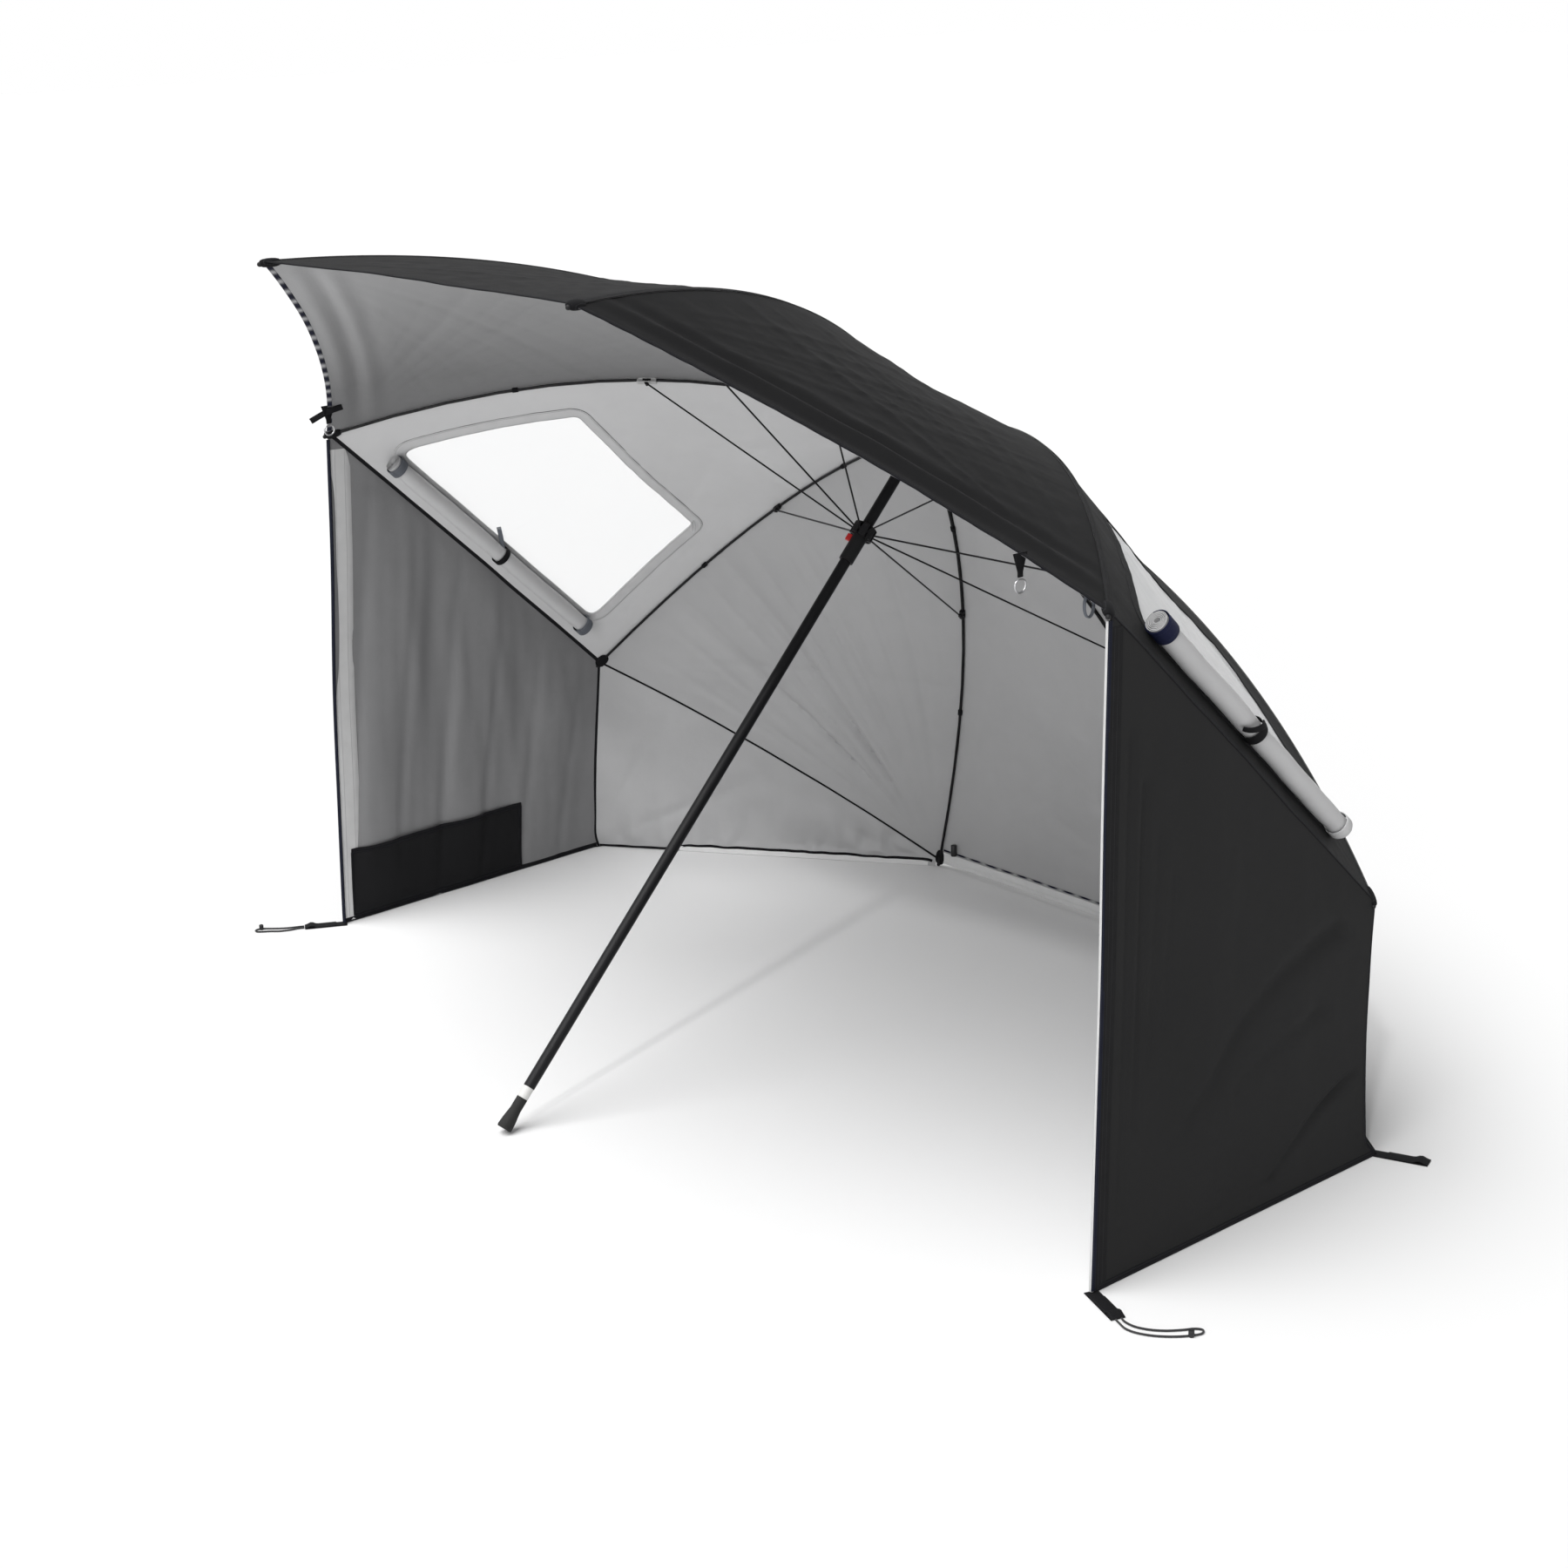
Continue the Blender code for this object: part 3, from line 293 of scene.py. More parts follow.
def strip(name, centres, sides, width, height, outside, inside=None, closed=False):
    """A flat strip with rounded edges along centres. sides point across it, to its right."""
    half, rise = width / 2, height / 2
    edge = half - 0.65 * rise
    profile = [
        (-half, -0.35 * rise), (-edge, -rise), (-edge / 3, -rise), (edge / 3, -rise), (edge, -rise),
        (half, -0.35 * rise), (half, 0.35 * rise), (edge, rise), (edge / 3, rise), (-edge / 3, rise),
        (-edge, rise), (-half, 0.35 * rise),
    ]
    count, last = len(profile), len(centres)
    vertices, cut, run = [], [], 0.0
    for i, centre in enumerate(centres):
        side = Vector(sides[i]).normalized()
        up = side.cross(heading(centres, i, closed).normalized()).normalized()
        run += (Vector(centre) - Vector(centres[i - 1])).length if i else 0.0
        for across, rise_at in profile:
            vertices.append(Vector(centre) + side * across + up * rise_at)
            cut.append((run, across))
    faces = ring_faces(last, count, closed)
    face_finish = [int(inside is not None and n % count <= 4) for n in range(len(faces))]
    if not closed:
        faces += [tuple(range(count))[::-1], tuple(range((last - 1) * count, last * count))]
        face_finish += [0, 0]
    finishes = [outside] if inside is None else [outside, inside]
    return outward_faces(link_mesh(name, vertices, faces, finishes, cut, face_finish))


def round_cord(name, path, radius, finish, around=10):
    """A closed round cord along a path, with its ribs' direction carried in its flat places."""
    vertices, cut, run = [], [], 0.0
    up = Vector((0, 0, 1))
    for i, centre in enumerate(path):
        ahead = heading(path, i).normalized()
        side = ahead.cross(up).normalized()
        up = side.cross(ahead).normalized()
        run += (centre - path[i - 1]).length if i else 0.0
        vertices += [centre + out * radius for out in circle(side, up, around)]
        cut += [(run, radius * (2 * math.pi * k / around)) for k in range(around)]
    faces = ring_faces(len(path), around)
    first, end = len(vertices), len(vertices) + 1
    for centre, start, cap in ((path[0], 0, first), (path[-1], (len(path) - 1) * around, end)):
        vertices.append(centre)
        cut.append((0.0, 0.0))
        faces += [(cap, start + k, start + (k + 1) % around) for k in range(around)]
    return outward_faces(link_mesh(name, vertices, faces, [finish], cut))


def laid_strip(name, line, ups, width, height, outside, inside=None):
    """A strip along a line on a surface. ups is the way out of it, one for all or one for each point."""
    ups = ups if isinstance(ups, list) else [ups] * len(line)
    sides = [heading(line, i).cross(up).normalized() for i, up in enumerate(ups)]
    return strip(name, line, sides, width, height, outside, inside)


black_webbing = tape_finish(
    "black_webbing", (0.005, 0.005, 0.006), (0.011, 0.011, 0.012), 0.8, 0.0016, (0.025, 0.025, 0.027), 0.0095
)
braid, braid_tree, braid_shader = new_finish("braided_cord", 0.7, sheen=0.2)
braid_place = braid_tree.nodes.new("ShaderNodeTexCoord")
braid_turned = braid_tree.nodes.new("ShaderNodeMapping")
braid_turned.inputs["Rotation"].default_value = (0, 0, math.radians(45))
braid_tree.links.new(braid_place.outputs["UV"], braid_turned.inputs["Vector"])
strand_one = wave_node(braid_tree, braid_turned.outputs[0], "X", 0.0012)
strand_two = wave_node(braid_tree, braid_turned.outputs[0], "Y", 0.0012)
strands = math_node(braid_tree, "MAXIMUM", strand_one, strand_two)
strand_tone = two_tones(braid_tree, strands, (0.006, 0.006, 0.007), (0.02, 0.02, 0.022))
braid_tree.links.new(strand_tone, braid_shader.inputs["Base Color"])
raise_surface(braid_tree, braid_shader, strands, 0.0003)

front_corner = Vector((1.12966, -0.38, 0))
back_corner = Vector((1.13966, 0.33, 0))
wall_cloth = 0.0014
seam_room = 0.0003
corners = {
    "front_right": (front_corner, Vector((0.94, -0.34, 0)), 0.087),
    "front_left": (Vector((-front_corner.x, front_corner.y, 0)), Vector((-0.49, -0.87, 0)), 0.087),
    "back_right": (back_corner, Vector((0.93, 0.37, 0)), 0.091),
    "back_left": (Vector((-back_corner.x, back_corner.y, 0)), Vector((-0.93, 0.37, 0)), 0.091),
}
strap_width = 0.025
cord_radius = 0.00175
cord_routes = {
    "front_right": (
        (0.0, 0.005), (0.012, 0.005), (0.030, 0.012), (0.047, 0.028), (0.060, 0.050), (0.068, 0.074),
        (0.072, 0.092), (0.080, 0.102), (0.089, 0.096), (0.088, 0.078), (0.080, 0.052), (0.066, 0.026),
        (0.048, 0.006), (0.030, -0.004), (0.012, -0.005), (0.0, -0.005),
    ),
    "front_left": (
        (0.0, 0.005), (0.012, 0.005), (0.032, 0.010), (0.054, 0.011), (0.074, 0.006), (0.090, 0.004),
        (0.102, 0.001), (0.106, -0.007), (0.099, -0.014), (0.086, -0.014), (0.070, -0.010), (0.052, -0.006),
        (0.032, -0.004), (0.012, -0.005), (0.0, -0.005),
    ),
}


def smooth_route(points, steps):
    """Points on a smooth curve through the given ones."""
    ends = [2 * points[0] - points[1], *points, 2 * points[-1] - points[-2]]
    route = []
    for a, b, c, d in zip(ends, ends[1:], ends[2:], ends[3:]):
        for i in range(steps):
            t = i / steps
            bend = (2 * a - 5 * b + 4 * c - d) * t**2 + (3 * b - a - 3 * c + d) * t**3
            route.append(0.5 * (2 * b + (c - a) * t + bend))
    return [*route, points[-1]]


def round_edges(piece, width):
    """Rounds the edges of a piece, which has to be the active one."""
    rounding = piece.modifiers.new("rounding", "BEVEL")
    rounding.width = width
    rounding.segments = 2
    bpy.ops.object.modifier_apply(modifier="rounding")


def cord_lock(name, place, finish, radius=0.0048, depth=0.011):
    """A small barrel lock: a cylinder with a waist, rounded ends and a bore for the cord."""
    bpy.ops.object.select_all(action="DESELECT")
    bpy.ops.mesh.primitive_cylinder_add(vertices=16, radius=radius, depth=depth, location=place)
    lock = bpy.context.object
    lock.name = name
    bpy.ops.object.mode_set(mode="EDIT")
    bpy.ops.mesh.select_mode(type="FACE")
    bpy.ops.mesh.select_all(action="DESELECT")
    bpy.ops.object.mode_set(mode="OBJECT")
    for face in lock.data.polygons:
        face.select = abs(face.normal.z) > 0.9
    bpy.ops.object.mode_set(mode="EDIT")
    bpy.ops.mesh.inset(thickness=0.44 * radius)
    bpy.ops.mesh.extrude_region_shrink_fatten(TRANSFORM_OT_shrink_fatten={"value": -0.0016})
    bpy.ops.object.mode_set(mode="OBJECT")
    round_edges(lock, 0.0009)
    bpy.ops.object.transform_apply(location=True, rotation=True, scale=True)
    lock.data.materials.append(finish)
    bpy.ops.object.shade_smooth_by_angle(angle=math.radians(40))
    return lock


def grain_finish(name, roughness, scale, detail, dark, light, depth, alpha=1.0, ior=1.5):
    """Plastic or clear film whose tone and surface wander together."""
    made, tree, shader = new_finish(name, roughness)
    shader.inputs["Alpha"].default_value = alpha
    shader.inputs["IOR"].default_value = ior
    place = tree.nodes.new("ShaderNodeTexCoord")
    grain = noise_node(tree, place.outputs["Object"], scale, detail)
    tree.links.new(two_tones(tree, grain, dark, light), shader.inputs["Base Color"])
    raise_surface(tree, shader, grain, depth)
    return made


lock_plastic = grain_finish(
    "lock_plastic", 0.42, 900.0, 3.0, (0.01, 0.01, 0.011), (0.02, 0.02, 0.022), 0.0001
)
for corner_name, (corner_at, ahead_of, strap_length) in corners.items():
    ahead_of = ahead_of.normalized()
    strap_side = Vector((0, 0, 1)).cross(ahead_of)
    strap_start = corner_at + ahead_of * (wall_cloth * abs(ahead_of.x) + seam_room)
    strap_frame = Matrix((ahead_of, strap_side, (0, 0, 1))).transposed().to_4x4()
    strap_frame.translation = strap_start
    eye_rise = 0.0045
    outline = [Vector(((strap_length + 0.005) * i / 12 - 0.007, 0, 0.0007)) for i in range(13)]
    for i in range(1, 6):
        turn = math.pi * i / 6 - math.pi / 2
        outline.append(
            Vector((strap_length - 0.003 + 0.0014 * math.cos(turn), 0, 0.0017 + 0.001 * math.sin(turn)))
        )
    for i in range(13):
        back = i / 12
        lift = eye_rise * math.sin(math.pi * min(1, back * 2.6)) ** 2 if back < 0.385 else 0
        outline.append(Vector((strap_length - 0.003 - (strap_length - 0.02) * back, 0, 0.0022 + lift)))
    strap = strip(
        f"corner_strap_{corner_name}", [strap_frame @ p for p in outline],
        [strap_side] * len(outline), strap_width, 0.0011, black_webbing,
    )
    seat(strap, "root", f"corner_tab_{corner_name}")
    if corner_name not in cord_routes:
        continue
    flat_route = [Vector((x, y, 0)) for x, y in cord_routes[corner_name]]
    route = [
        strap_frame @ Vector((strap_length + seam_room + p.x, p.y, cord_radius))
        for p in smooth_route(flat_route, 4)
    ]
    peg_cord = round_cord(f"peg_cord_{corner_name}", route, cord_radius, braid)
    seat(peg_cord, "root", f"corner_cord_{corner_name}")
    lock_at = route[int(len(route) * 0.6)] + Vector((0, 0, 0.0038))
    lock = cord_lock(f"cord_lock_{corner_name}", lock_at, lock_plastic)
    seat(lock, "root")


# Pole and foot. Two black coated steel tubes plug together. The foot is a steel spike in the
# lower tube's end, with a pale plastic ring and a black rubber boot pushed over it.
tilt = math.radians(43.65)
umbrella = Matrix(
    (
        (0, 1, 0, 0),
        (-math.cos(tilt), 0, math.sin(tilt), 0.0047355),
        (math.sin(tilt), 0, math.cos(tilt), 0.7746422),
        (0, 0, 0, 1),
    )
)


def dress(finish, *names):
    """Gives CAD nodes a finish."""
    for name in names:
        for slot in nodes[name].material_slots:
            slot.material = finish


def hard_finish(name, dark, light, roughness, grain, depth, metallic=0.0, shine=0.4):
    """Coated metal or moulded plastic: a fine grain, a mottled tone and rubbed patches."""
    made, tree, shader = new_finish(name, roughness, metallic, shine=shine)
    place = tree.nodes.new("ShaderNodeTexCoord")
    fine = noise_node(tree, place.outputs["Object"], grain, 2.0)
    broad = noise_node(tree, place.outputs["Object"], 24.0, 5.0)
    rubbed = math_node(tree, "SMOOTH_MAX", math_node(tree, "SUBTRACT", broad, 0.5), 0.0)
    share = math_node(tree, "ADD", math_node(tree, "MULTIPLY", fine, 0.5), rubbed)
    tree.links.new(two_tones(tree, share, dark, light), shader.inputs["Base Color"])
    shine = math_node(tree, "ADD", roughness - 0.08, math_node(tree, "MULTIPLY", broad, 0.16))
    tree.links.new(shine, shader.inputs["Roughness"])
    raise_surface(tree, shader, fine, depth)
    return made


black_coat = hard_finish(
    "black_coat", (0.004, 0.004, 0.005), (0.009, 0.009, 0.01), 0.42, 700.0, 0.00006, shine=0.2
)
bare_steel = hard_finish(
    "bare_steel", (0.42, 0.42, 0.43), (0.62, 0.62, 0.63), 0.32, 420.0, 0.00004, metallic=1.0
)
pale_plastic = hard_finish("pale_plastic", (0.66, 0.66, 0.64), (0.8, 0.8, 0.78), 0.45, 800.0, 0.00004)
boot_rubber = hard_finish("boot_rubber", (0.008, 0.008, 0.008), (0.018, 0.018, 0.017), 0.75, 300.0, 0.0002)
dress(black_coat, "pole_upper", "pole_lower")
dress(bare_steel, "foot_spike", "rib_wire")
dress(pale_plastic, "foot_collar")
dress(boot_rubber, "foot_boot")


# Crown, cap and runner. Black moulded nylon: the crown is slotted for the eight rib roots, the
# cap screws down over the cloth's centre, and the runner slides on the pole with a red button.
black_nylon = hard_finish(
    "black_nylon", (0.006, 0.006, 0.007), (0.014, 0.014, 0.015), 0.5, 620.0, 0.00007, shine=0.25
)
red_nylon = hard_finish("red_nylon", (0.5, 0.012, 0.012), (0.62, 0.03, 0.03), 0.4, 620.0, 0.00005)
dress(black_nylon, "crown_hub", "top_cap", "runner")
dress(red_nylon, "runner_button")


# Ribs, stretchers and tips. Eight bowed ribs of black coated steel turn on the crown's wire ring,
# each held open by a stretcher from the runner. A plastic tip on each end holds a corner.
rib_names = (
    "top_right", "upper_right", "lower_right", "ground_right",
    "ground_left", "lower_left", "upper_left", "top_left",
)
dress(black_coat, *(f"rib_{n}" for n in rib_names), *(f"stretcher_{n}" for n in rib_names))
dress(black_nylon, *(f"tip_{n}" for n in rib_names))


# Canopy. Eight gores of black polyester, silver coated inside, are cut wider than flat so that
# they sag a little between the ribs. Each is made in two halves, one on each of its ribs.
half_gore = math.pi / 8
tip_radius = 1.2
dome_rise = 0.49
cloth = 0.0008
canopy_hole = 0.0105
sags = (0.01, 0.03, 0.003, 0.015, 0.0, 0.015, 0.003, 0.03)
gore_names = (
    "roof", "upper_right", "window_right", "low_right", "back", "low_left", "window_left", "upper_left",
)


def dome(radius):
    return dome_rise * (1 - (radius / tip_radius) ** 2.2)


def inward(radius):
    """Unit vector square to the canopy and pointing inside, in a rib's radial plane."""
    slope = -dome_rise * 2.2 / tip_radius * (radius / tip_radius) ** 1.2
    return Vector((slope, 0, -1)).normalized()


def on_gore(radius, across, sag):
    """A point of a gore in its own frame. across is -1 to 1, rib to rib."""
    share = radius / tip_radius
    slack = 1 - across * across
    cut_at = radius - sag * slack * share**4
    dip = 0.012 * slack * math.sin(math.pi * min(share, 1))
    side = across * (cut_at * math.sin(half_gore) - 0.00025)
    return Vector((cut_at * math.cos(half_gore), side, dome(cut_at) - dip))


def ridge(value):
    """A narrow crest that comes round with every half turn."""
    return math.exp(-((math.sin(value) / 0.32) ** 2))


# How strongly creases fan out from the tips at across -1 and +1 of each gore, in metres.
fans = (
    (0.0025, 0.0025), (0.003, 0.0035), (0.0025, 0.003), (0.0035, 0.006),
    (0.003, 0.003), (0.014, 0.004), (0.003, 0.0025), (0.0035, 0.003),
)


def crease(index, radius, across):
    """How far the cloth stands out there: fans from the tips, puckers at the crown, soft bulges."""
    width = radius * math.sin(half_gore)
    slack = max(0.0, 1 - across * across)
    total = 0.0
    for corner, depth in zip((-1, 1), fans[index]):
        out = (1 - corner * across) * width
        down = (tip_radius - radius) * 1.25
        distance = math.hypot(out, down)
        turn = math.atan2(down, out + 1e-6)
        reach = distance * math.exp(-distance / 0.42) / 0.155
        fan = 0.6 * ridge(9.5 * turn + 0.6 * index) + 0.4 * ridge(23 * turn + 1.3 * corner + index)
        total += depth * fan * reach * math.sin(2 * min(turn, 1.5)) ** 0.7
        if index in (3, 5) and corner == (-1 if index == 5 else 1):
            pull = math.exp(-(((turn - 0.42) / 0.24) ** 2)) * math.exp(-(((distance - 0.3) / 0.24) ** 2))
            total += 0.012 * pull * ridge(13.5 * turn + 2.5 * distance)
            total += 0.006 * pull * ridge(24.5 * turn - 1.5 * distance)
    crown = max(0.0, 1 - radius / 0.38)
    total += 0.002 * crown * math.sin(4.5 * math.pi * across)
    if index in (1, 7):
        hem = (tip_radius - radius) * 1.3
        total += 0.0075 * math.cos(2 * math.pi * hem / 0.07) * math.exp(-(((hem - 0.08) / 0.05) ** 2))
    bulge = noise.noise(Vector((radius * 3.1, across * 1.7, index * 7.3)))
    fine = noise.noise(Vector((radius * 11, across * 5.5, index * 3.1 + 40)))
    total += 0.0035 * bulge + 0.0011 * fine
    return total * slack**0.6


def gore_point(index, radius, across, depth=0.0):
    """A point of the creased canopy in the world, depth inside its outer face."""
    place = on_gore(radius, across, sags[index])
    square = -inward(radius)
    place += square * (crease(index, radius, across) - depth)
    return umbrella @ (Matrix.Rotation(2 * index * half_gore, 4, "Z") @ place)


def gore_square(index, radius):
    """The canopy's outward direction there, in the world."""
    turned = Matrix.Rotation(2 * index * half_gore, 4, "Z") @ -inward(radius)
    return (umbrella.to_3x3() @ turned).normalized()


def rib_square(rib):
    """The direction square to the plane of a rib, in the world."""
    turned = Matrix.Rotation((2 * rib + 1) * half_gore, 3, "Z") @ Vector((0, 1, 0))
    return (umbrella.to_3x3() @ turned).normalized()


def rib_place(rib, radius, drop):
    """A point under a rib's line, drop inside it, and the ways along, beside and out from there."""
    plane = umbrella @ Matrix.Rotation((2 * rib + 1) * half_gore, 4, "Z")
    turned, down = plane.to_3x3(), inward(radius)
    centre = plane @ (Vector((radius, 0, dome(radius))) + down * drop)
    return centre, turned @ Vector((-down.z, 0, down.x)), turned @ Vector((0, 1, 0)), turned @ -down


def fold_with(piece, index, side, replaced=None):
    """The piece rides on the rib at that side of the gore."""
    rib = index if side > 0 else (index - 1) % 8
    seat(piece, f"rib_{rib_names[rib]}", replaced)
    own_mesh(piece)


def cloth_finish(name, dark, light, roughness, thread, metallic=0.0, sheen=0.0, shine=0.1, mottle_and_painted_shade=None):
    """Woven cloth: threads both ways, a tone that wanders, and small creases from use. The colour given
    last, where given, is painted shade: a darker tone painted in towards one rib."""
    made, tree, shader = new_finish(name, roughness, metallic, sheen, shine)
    place = tree.nodes.new("ShaderNodeTexCoord")
    warp = wave_node(tree, place.outputs["UV"], "X", thread)
    weft = wave_node(tree, place.outputs["UV"], "Y", thread)
    weave = math_node(tree, "MAXIMUM", warp, weft)
    broad = noise_node(tree, place.outputs["Object"], 3.2, 4.0)
    small = noise_node(tree, place.outputs["Object"], 26.0, 5.0)
    share = math_node(
        tree, "ADD", math_node(tree, "MULTIPLY", broad, 0.7), math_node(tree, "MULTIPLY", small, 0.3)
    )
    tone = two_tones(tree, share, dark, light)
    # Painted shade: the colour turns darker towards the rib at the cut's negative side.
    if mottle_and_painted_shade is not None:
        split = tree.nodes.new("ShaderNodeSeparateXYZ")
        tree.links.new(place.outputs["UV"], split.inputs[0])
        spread = tree.nodes.new("ShaderNodeMapRange")
        spread.inputs["From Min"].default_value = -0.22
        spread.inputs["From Max"].default_value = 0.3
        tree.links.new(split.outputs["X"], spread.inputs["Value"])
        tone = two_tones(tree, spread.outputs["Result"], mottle_and_painted_shade, tone)
    tree.links.new(tone, shader.inputs["Base Color"])
    rubbed = math_node(tree, "MULTIPLY", small, 0.16)
    tree.links.new(math_node(tree, "ADD", roughness - 0.08, rubbed), shader.inputs["Roughness"])
    under = raise_surface(tree, shader, small, 0.0011)
    raise_surface(tree, shader, weave, 0.00006, under)
    return made


black_polyester = cloth_finish(
    "black_polyester", (0.009, 0.009, 0.0095), (0.0145, 0.0145, 0.015), 0.72, 0.0011, shine=0.07
)
# Painted light: the walls' outside is the canopy's black polyester painted about twice as light, standing
# for more light falling on them.
light_painted_wall_cloth = cloth_finish(
    "light_painted_wall_cloth", (0.019, 0.019, 0.0195), (0.028, 0.028, 0.0285), 0.72, 0.0011, shine=0.07
)
silver_coating = cloth_finish(
    "silver_coating", (0.42, 0.42, 0.425), (0.51, 0.51, 0.515), 0.5, 0.0011, metallic=0.1
)
# Painted shade: the same silver coating made darker for the roof and upper right gores, standing for the
# shade under the roof.
shade_painted_coating = cloth_finish(
    "shade_painted_coating", (0.3, 0.3, 0.305), (0.38, 0.38, 0.385), 0.5, 0.0011, metallic=0.1
)
# Painted shade: the upper left gore's lining, the same silver coating, painted darker towards its lower rib.
rib_shade_painted_coating = cloth_finish(
    "rib_shade_painted_coating", (0.34, 0.34, 0.345), (0.42, 0.42, 0.425), 0.5, 0.0011, metallic=0.1,
    mottle_and_painted_shade=(0.21, 0.21, 0.213),
)
# Painted light: the same silver coating made lighter for the two window gores, standing for the light they
# get.
light_painted_coating = cloth_finish(
    "light_painted_coating", (0.57, 0.57, 0.575), (0.67, 0.67, 0.675), 0.5, 0.0011, metallic=0.05
)
# The eight linings are one silver coating in lit and shaded copies: painted light on the window gores,
# painted shade under the roof and upper gores.
gore_linings = (
    shade_painted_coating, shade_painted_coating, light_painted_coating, silver_coating,
    silver_coating, silver_coating, light_painted_coating, rib_shade_painted_coating,
)


def window_half(radius):
    """Half the window's width at that radius, never less than 0.37 of the half gore's."""
    width = radius * math.sin(half_gore)
    return max(width - 0.105, 0.37 * width)


def sheet_piece(name, grid, cut_grid, thickness, outside, inside, keep=None, turned=False):
    """A sheet through a grid of points, its thickness on its inner side."""
    rows, columns = len(grid), len(grid[0])
    faces = []
    for i in range(rows - 1):
        for j in range(columns - 1):
            if keep is not None and not keep(i, j):
                continue
            a = i * columns + j
            quad = (a, a + 1, a + columns + 1, a + columns)
            faces.append(quad[::-1] if turned else quad)
    used = sorted({v for face in faces for v in face})
    number = {v: n for n, v in enumerate(used)}
    flat_points = [p for row in grid for p in row]
    flat_cut = [c for row in cut_grid for c in row]
    faces = [tuple(number[v] for v in face) for face in faces]
    piece = link_mesh(
        name, [flat_points[v] for v in used], faces, [outside, inside], [flat_cut[v] for v in used]
    )
    thick = piece.modifiers.new("thickness", "SOLIDIFY")
    thick.thickness = thickness
    thick.offset = -1
    thick.material_offset = 1
    bpy.ops.object.select_all(action="DESELECT")
    bpy.context.view_layer.objects.active = piece
    piece.select_set(True)
    bpy.ops.object.modifier_apply(modifier="thickness")
    piece.data.set_sharp_from_angle(angle=math.radians(50))
    return piece


window_high, window_low, window_lap = 0.8, 1.13, 0.006
rows_above, rows_beside, rows_below = 72, 48, 12
pane_from, pane_to = window_high - window_lap, window_low + window_lap
gore_rows = (
    [canopy_hole + (pane_from - canopy_hole) * i / rows_above for i in range(rows_above)]
    + [pane_from + (window_low - window_high + 2 * window_lap) * i / rows_beside for i in range(rows_beside)]
    + [pane_to + (tip_radius - window_low - window_lap) * i / rows_below for i in range(rows_below + 1)]
)
gore_columns, window_columns = 44, 30


def gore_across(index, radius, share):
    """across for a share from 0 at the gore's middle to 1 at its rib."""
    if index not in (2, 6):
        return share
    width = radius * math.sin(half_gore)
    edge = (window_half(radius) + window_lap) / width
    pane = window_columns / gore_columns
    if share <= pane:
        return edge * share / pane
    return edge + (1 - edge) * (share - pane) / (1 - pane)


def slant(radius):
    """The cloth's length from the crown to that radius."""
    steps = 40
    length = 0.0
    for i in range(steps):
        at = radius * (i + 0.5) / steps
        slope = dome_rise * 2.2 / tip_radius * (at / tip_radius) ** 1.2
        length += math.hypot(1, slope) * radius / steps
    return length


def flat_area(width_at, start, end):
    steps = 200
    total = 0.0
    for i in range(steps):
        at = start + (end - start) * (i + 0.5) / steps
        slope = dome_rise * 2.2 / tip_radius * (at / tip_radius) ** 1.2
        total += width_at(at) * math.hypot(1, slope) * (end - start) / steps
    return total


halves = ((-1, "near"), (1, "far"))
row_slants = [slant(radius) for radius in gore_rows]
gore_area = flat_area(lambda r: r * math.sin(half_gore), canopy_hole, tip_radius)
pane_area = flat_area(window_half, window_high, window_low)
for index, gore_name in enumerate(gore_names):
    for side, half_word in halves:
        shares = [j / gore_columns for j in range(gore_columns + 1)]
        if side < 0:
            shares = [-s for s in shares[::-1]]
        grid, cut_grid = [], []
        for radius, down in zip(gore_rows, row_slants):
            row = [math.copysign(gore_across(index, radius, abs(s)), s) for s in shares]
            grid.append([gore_point(index, radius, across) for across in row])
            width = radius * math.sin(half_gore)
            cut_grid.append([(across * width, down) for across in row])

        def outside_window(i, j):
            if index not in (2, 6) or not rows_above <= i < rows_above + rows_beside:
                return True
            middle = j if side > 0 else gore_columns - 1 - j
            return middle >= window_columns

        name = f"canopy_{gore_name}_{half_word}"
        half = sheet_piece(
            name, grid, cut_grid, cloth, black_polyester, gore_linings[index], outside_window, turned=True
        )
        fold_with(half, index, side, f"gore_{gore_name}")


# Seams and hems. The gores are joined by a felled seam over each rib, taped on both sides, and
# each gore's outer edge is bound with folded tape.
seam_tape = tape_finish(
    "seam_tape", (0.01, 0.01, 0.011), (0.017, 0.017, 0.018), 0.8, 0.0012, (0.035, 0.035, 0.037), 0.0045
)
silver_tape = tape_finish(
    "silver_tape", (0.3, 0.3, 0.305), (0.4, 0.4, 0.405), 0.55, 0.0012, (0.16, 0.16, 0.17), 0.0045
)
# Painted light: a white tape that stands for bright floor seen under the hems at the ground.
ground_tape = tape_finish(
    "ground_tape", (0.84, 0.84, 0.84), (0.92, 0.92, 0.92), 0.6, 0.0012, (0.05, 0.05, 0.055), 0.0118
)
hem_tape = tape_finish(
    "hem_tape", (0.005, 0.005, 0.006), (0.01, 0.01, 0.012), 0.8, 0.001, (0.03, 0.03, 0.034), 0.003
)
puckered_tape = tape_finish(
    "puckered_tape", (0.006, 0.007, 0.02), (0.01, 0.012, 0.03), 0.8, 0.001, (0.03, 0.03, 0.034), 0.003,
    gaps=(0.048, (0.42, 0.42, 0.43)),
)
hem_widths = {"low_left": 0.0055, "low_right": 0.0055, "roof": 0.008}
